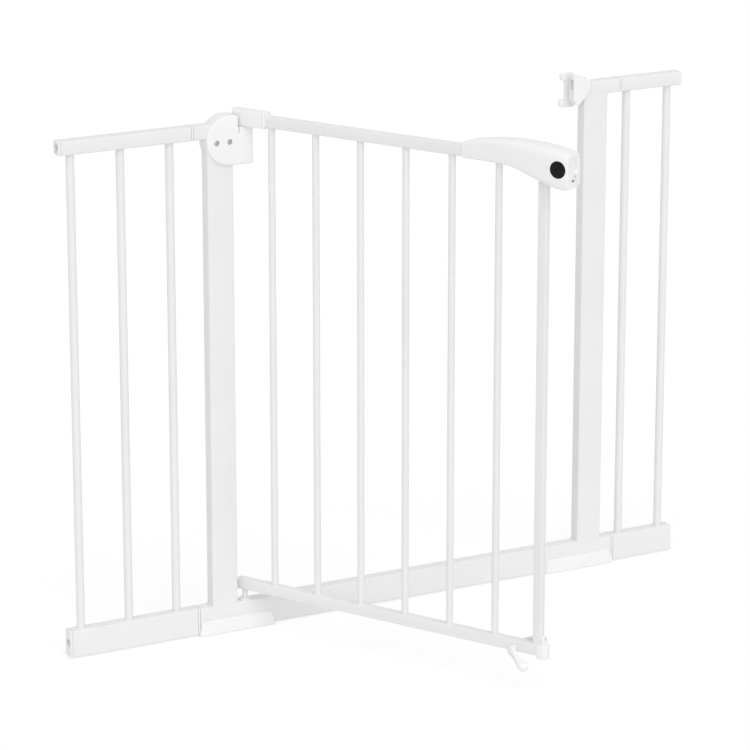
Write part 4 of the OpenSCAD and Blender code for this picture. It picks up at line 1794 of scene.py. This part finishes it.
@dataclass
class Latch:
    """The sprung tongue with its ribbed nose, its spring and the black push button."""

    front: float = -0.5
    nose: float = 7.0
    nose_round: float = 0.16
    rib: float = 0.8
    rib_drop: float = 0.35
    rib_edge: float = 0.06
    tip_drop: float = 0.8
    carriage: float = 6.5
    carriage_deep: float = 11.0
    carriage_edge: float = 0.6
    wedge_half: float = 3.5
    wedge_y: float = -9.5
    slope: float = 1.5
    cam: float = 6.3
    cam_gap: float = 0.2
    dome: float = 0.9
    dome_rings: tuple[Pair, ...] = ((1.8, 0.36), (2.4, 0.28), (2.6, 0.16), (2.2, 0.06))
    disc: float = 5.5
    plunger: float = 4.0
    spring_y: float = 5.5
    spring_room: float = 3.2
    wire: float = 0.4
    turns: int = 7

    def build(self) -> None:
        """Makes the tongue, the button and the spring."""
        self._tongue()
        self._button()
        self._spring()

    def _nose(self, room: Room, plate: Room) -> list[Station]:
        """The sections of the tongue's nose, which narrows at each second rib.

        Args:
            room: The tongue's space.
            plate: The end plate's space.

        Returns:
            The sections in order.
        """
        y0, y1 = self.front, self.front + self.nose
        z0, z1 = room.z - self.nose / 2, room.z + self.nose / 2
        x, drop = plate.x1 + 1.2, 0.0
        stations = [Station(plate.x0 - 1, y0, y1, z0, z1), Station(x, y0, y1, z0, z1)]
        while x + self.rib < room.x1 - 0.6:
            x += self.rib / 2
            drop = self.rib_drop - drop
            for at in (x, x + self.rib_edge):
                stations.append(Station(at, y0 + drop, y1 - drop, z0 + drop, z1 - drop))
            x += self.rib / 2
        drop = self.tip_drop
        return [*stations, Station(room.x1, y0 + drop, y1 - drop, z0 + drop, z1 - drop)]

    def _tongue(self) -> None:
        """Makes the tongue: a ribbed nose, the bored carriage and its wedge."""
        room, plate = Room.on_door("latch_tongue"), Room.on_door("handle_end_plate")
        x0, y0, z, half = room.x0, self.front, room.z, self.carriage
        section = filleted(SQUARE, self.nose_round, 3)
        tongue = Piece.run("latch_nose", section, self._nose(room, plate))
        high = (plate.x0 - 0.3, y0 + self.carriage_deep, z + half)
        carriage = Piece.block("carriage", (x0, y0, z - half), high)
        carriage.bevelled(self.carriage_edge, 2)
        cam = Room.on_door("release_button").x - self.cam
        end = cam + (y0 - self.wedge_y) * self.slope
        wedge = [
            (x0 + 1.5, y0 + 1),
            (x0 + 1.5, self.wedge_y),
            (cam, self.wedge_y),
            (end, y0),
            (end, y0 + 1),
        ]
        low, top = z - self.wedge_half, z + self.wedge_half
        tongue.fused(carriage, Piece.outline("wedge", wedge, Axis.Z, low, top))
        y, end = y0 + self.spring_y, Room.on_door("latch_spring").x1 + 0.2
        tongue.cut(Piece.rod("spring_room", self.spring_room, (x0 - 1, y, z), (end, y, z), 32))
        tongue.dressed(PLASTIC, "latch_tongue", Body.LATCH)

    def _button(self) -> None:
        """Makes the button: a domed disc and the plunger behind it."""
        room = Room.on_door("release_button")
        x, z = room.x, room.z
        face, back = room.y0 + self.dome, room.y0 + self.disc
        disc = Piece.rod_y("push_button", (room.x1 - room.x0) / 2, (x, z), face, back, 72)
        disc.rimmed(Axis.Y, face, self.dome, 4)
        with disc.editing("FACE", lambda f: f.normal.y < -0.99):
            for inset, rise in self.dome_rings:
                bpy.ops.mesh.inset(thickness=inset * MM, depth=rise * MM)
        plunger = Piece.rod_y("plunger", self.plunger, (x, z), back - 1, room.y1 + 1, 32)
        cam_x, cam_y, far = x - self.cam, self.wedge_y - self.cam_gap, 40
        wedge = [
            (cam_x - far, cam_y - far / self.slope),
            (cam_x + far, cam_y + far / self.slope),
            (cam_x + far, cam_y + 3 * far),
            (cam_x - far, cam_y + 3 * far),
        ]
        plunger.cut(Piece.outline("slope", wedge, Axis.Z, z - far, z + far))
        plunger.cut(Piece.block("front", (x - 9, room.y1, z - 9), (x + 9, room.y1 + 9, z + 9)))
        disc.fused(plunger).dressed(BLACK, "release_button", Body.BUTTON)

    def _spring(self) -> None:
        """Makes the spring, which the tongue shortens against the rib as it goes back; here it
        keeps its shape and only gets a mesh of its own.
        """
        room = Room.on_door("latch_spring")
        length, start = room.x1 - room.x0, (room.x0, room.y, room.z)
        radius = (room.z1 - room.z0) / 2 - self.wire
        spring = Piece.coil("tongue_spring", radius, self.wire, start, length, self.turns)
        spring.dressed(SPRING_WIRE, "latch_spring", Body.DOOR)
        travel = joint_range("latch_retract", "range_m")[1]
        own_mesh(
            spring.thing,
            "latch_retract",
            axis=tuple(ONTO_DOOR @ Axis.X.unit()),
            anchor=tuple(ONTO_DOOR @ Vector(start) * MM),
            keep=1 - travel / (length * MM),
        )


@dataclass
class FootStop:
    """The foot stop: a toe lever in front of the rail, its pin and the flag behind."""

    hub: float = 5.5
    hub_thick: float = 3.3
    hub_edge: float = 0.8
    pin: float = 3.0
    pin_edge: float = 0.5
    toe_inset: float = 0.7
    toe_rises: Pair = (0.25, 0.1)
    flag_half: float = 7.5
    flag_length: float = 34.0
    flag_slant: float = 3.0
    flag_thick: float = 2.8
    flag_edge: float = 0.5
    flag_angle: float = 24.0

    def build(self) -> None:
        """Makes the lever, the flag and the pin."""
        pin = Room.on_door("stop_lever_pin")
        self.at = (pin.x, pin.z)
        self._lever()
        self._flag()
        rod = Piece.rod_y("stop_pin", self.pin, self.at, pin.y0, pin.y1, 40)
        rod.bevelled(self.pin_edge, 3).dressed(PIN_ZINC, "stop_lever_pin", Body.STOP)

    def _stations(self, back: float) -> list[Station]:
        """The lever's sections, from its root to its toe.

        Args:
            back: Where along y the lever's back is.

        Returns:
            The sections in order.
        """
        x, z = self.at
        rows = [
            (x - 8.0, back - 3.2, back - 0.4, z - 7.6, z - 1.4),
            (x - 5.6, back - 4.8, back - 0.1, z - 9.2, z + 2.2),
            (x - 1.5, back - 7.0, back - 0.2, z - 10.8, z + 4.2),
            (x + 3.5, back - 9.6, back - 0.4, z - 13.2, z + 3.0),
            (x + 8.5, back - 12.4, back - 1.6, z - 16.4, z - 1.6),
            (x + 13.5, back - 15.8, back - 2.8, z - 19.8, z - 5.2),
            (x + 18.5, back - 19.4, back - 3.6, z - 23.6, z - 8.0),
            (x + 23.0, back - 20.8, back - 4.2, z - 25.2, z - 9.0),
            (x + 27.4, back - 19.6, back - 5.4, z - 24.0, z - 10.2),
            (x + 30.6, back - 15.8, back - 8.8, z - 20.4, z - 13.6),
        ]
        return [Station(*row) for row in rows]

    def _lever(self) -> None:
        """Makes the lever: a hub, a curved neck and a rounded toe pad."""
        back, (x, z) = Room.on_door("stop_lever").y1, self.at
        section = arc((0, 0), 1.0, 0, 360 - 22.5, 15)
        lever = Piece.run("toe_lever", section, smooth_run(self._stations(back), 2))
        with lever.editing("FACE", lambda f: len(f.vertices) > 8 and f.center.x > x * MM):
            for rise in self.toe_rises:
                bpy.ops.mesh.inset(thickness=self.toe_inset * MM, depth=rise * MM)
        lever.subdivided(1)
        hub = Piece.rod_y("hub", self.hub, self.at, back - self.hub_thick, back)
        lever.fused(hub.bevelled(self.hub_edge, 3))
        lever.cut(
            Piece.block("rail_side", (x - 40, back, z - 40), (x + 60, back + 30, z + 40)),
            Piece.rod_y("bore", self.pin, self.at, back - 2, back + 2, 40),
        )
        lever.dressed(PLASTIC, "stop_lever", Body.STOP)

    def _flag(self) -> None:
        """Makes the flag: a plate with cut corners and a boss round the pin."""
        room, half, length = Room.on_door("stop_flag"), self.flag_half, self.flag_length
        corners = [(-half, -half), (length, -half), (length, half), (-half, half)]
        side, front = filleted(corners, self.flag_slant, 4), room.y1 - self.flag_thick
        flag = Piece.outline("stop_flag_plate", side, Axis.Y, front, room.y1)
        flag.bevelled(self.flag_edge, 2)
        flag.turned(-self.flag_angle, "Y").moved((self.at[0], 0, self.at[1]))
        flag.fused(Piece.rod_y("boss", self.hub, self.at, room.y0, front + 1))
        flag.cut(Piece.rod_y("bore", self.pin, self.at, room.y0 - 1, room.y1 + 1, 40))
        flag.dressed(PLASTIC, "stop_flag", Body.STOP)


# ---- studio ----


@dataclass
class Studio:
    """The floor, the light and the camera."""

    sky: float = 0.59
    key_power: float = 1.4
    key_spread: float = 70.0
    key_turn: float = 16.0
    key_rise: float = 46.0
    bounce: float = 0.95
    shade: float = 0.3
    glow: float = 0.737
    floor_size: float = 80.0
    floor_drop: float = 0.4
    eye: Triple = (-2226.66, -4571.18, 1877.28)
    yaw: float = 0.4905
    pitch: float = 0.2864
    lens: float = 177.89
    sensor: float = 36.0
    far: float = 200.0

    def build(self) -> None:
        """Makes the floor, the light and the camera."""
        self._floor()
        self._sky()
        key = bpy.data.lights.new("soft_key", "SUN")
        key.energy = self.key_power
        key.angle = math.radians(self.key_spread)
        self._stood("soft_key", key, math.radians(self.key_turn), math.radians(self.key_rise))
        lens = bpy.data.cameras.new("camera")
        lens.lens, lens.sensor_width, lens.clip_end = self.lens, self.sensor, self.far
        camera = self._stood("camera", lens, self.yaw, self.pitch)
        camera.location = Vector(self.eye) * MM
        bpy.context.scene.camera = camera
        bpy.context.scene.view_settings.view_transform = "Standard"

    def _floor(self) -> None:
        """Makes the pale floor, which shows white but keeps the shadows."""
        clear_selection()
        place = (0, 0, -self.floor_drop * MM)
        bpy.ops.mesh.primitive_plane_add(size=self.floor_size, location=place)
        floor = bpy.context.active_object
        floor.name = "studio_floor"
        material = bpy.data.materials.new("studio_floor")
        bench = NodeBench(material, bare=True)
        plain, shown = (
            bench.add("ShaderNodeBsdfDiffuse", {"Color": (grey, grey, grey, 1)})
            for grey in (self.bounce, self.shade)
        )
        white = bench.add("ShaderNodeEmission", {"Strength": self.glow})
        parts = {0: shown.outputs[0], 1: white.outputs[0]}
        bench.show(plain, bench.add("ShaderNodeAddShader", parts), "ShaderNodeOutputMaterial")
        floor.data.materials.append(material)
        floor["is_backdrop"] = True

    def _sky(self) -> None:
        """Makes an even sky, white where it is seen."""
        world = bpy.data.worlds.new("studio_sky")
        bpy.context.scene.world = world
        bench = NodeBench(world, bare=True)
        even, white = (
            bench.add("ShaderNodeBackground", {"Color": (1, 1, 1, 1), "Strength": strength})
            for strength in (self.sky, 1.0)
        )
        bench.show(even, white, "ShaderNodeOutputWorld")

    @staticmethod
    def _stood(
        name: str, data: bpy.types.Light | bpy.types.Camera, turn: float, drop: float
    ) -> bpy.types.Object:
        """Stands a lamp or a camera in the studio.

        Args:
            name: Its name.
            data: The lamp or the camera.
            turn: How far it looks towards +X instead of +Y.
            drop: How far it looks down.

        Returns:
            Its object.
        """
        way = Vector(
            (
                math.sin(turn) * math.cos(drop),
                math.cos(turn) * math.cos(drop),
                -math.sin(drop),
            )
        )
        thing = bpy.data.objects.new(name, data)
        bpy.context.scene.collection.objects.link(thing)
        thing.rotation_euler = way.to_track_quat("-Z", "Y").to_euler()
        return thing


def corners() -> list[list[float]]:
    """The whole model's box as plain lists."""
    return [[float(n) for n in corner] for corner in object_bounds()]


def main() -> None:
    """Builds the studio, then every part of the gate."""
    logging.basicConfig(level=logging.INFO, format="%(name)s: %(message)s")
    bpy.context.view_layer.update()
    Studio().build()
    TubeFrame().build()
    ends = [f"{side}_{level}" for side in ("left", "right") for level in ("bottom", "top")]
    for end in ends:
        EndSocket().build(f"socket_{end}", 1 if end.startswith("left") else -1)
    for end in ends:
        Coupling().build(f"coupling_{end}")
    for side in ("left", "right"):
        Foot().build(f"foot_{side}", f"coupling_{side}_bottom")
    HingeHousing().build()
    Bush(6.0, 9.0, 0.5, 0.5).build("floor_bush", "bottom_hinge_bush", Room.of("threshold_bar").z1)
    for part in (Catch, DoorPanel, HingeArm, FreeEndCap, Handle, Latch, FootStop):
        part().build()


if __name__ == "__main__":
    main()
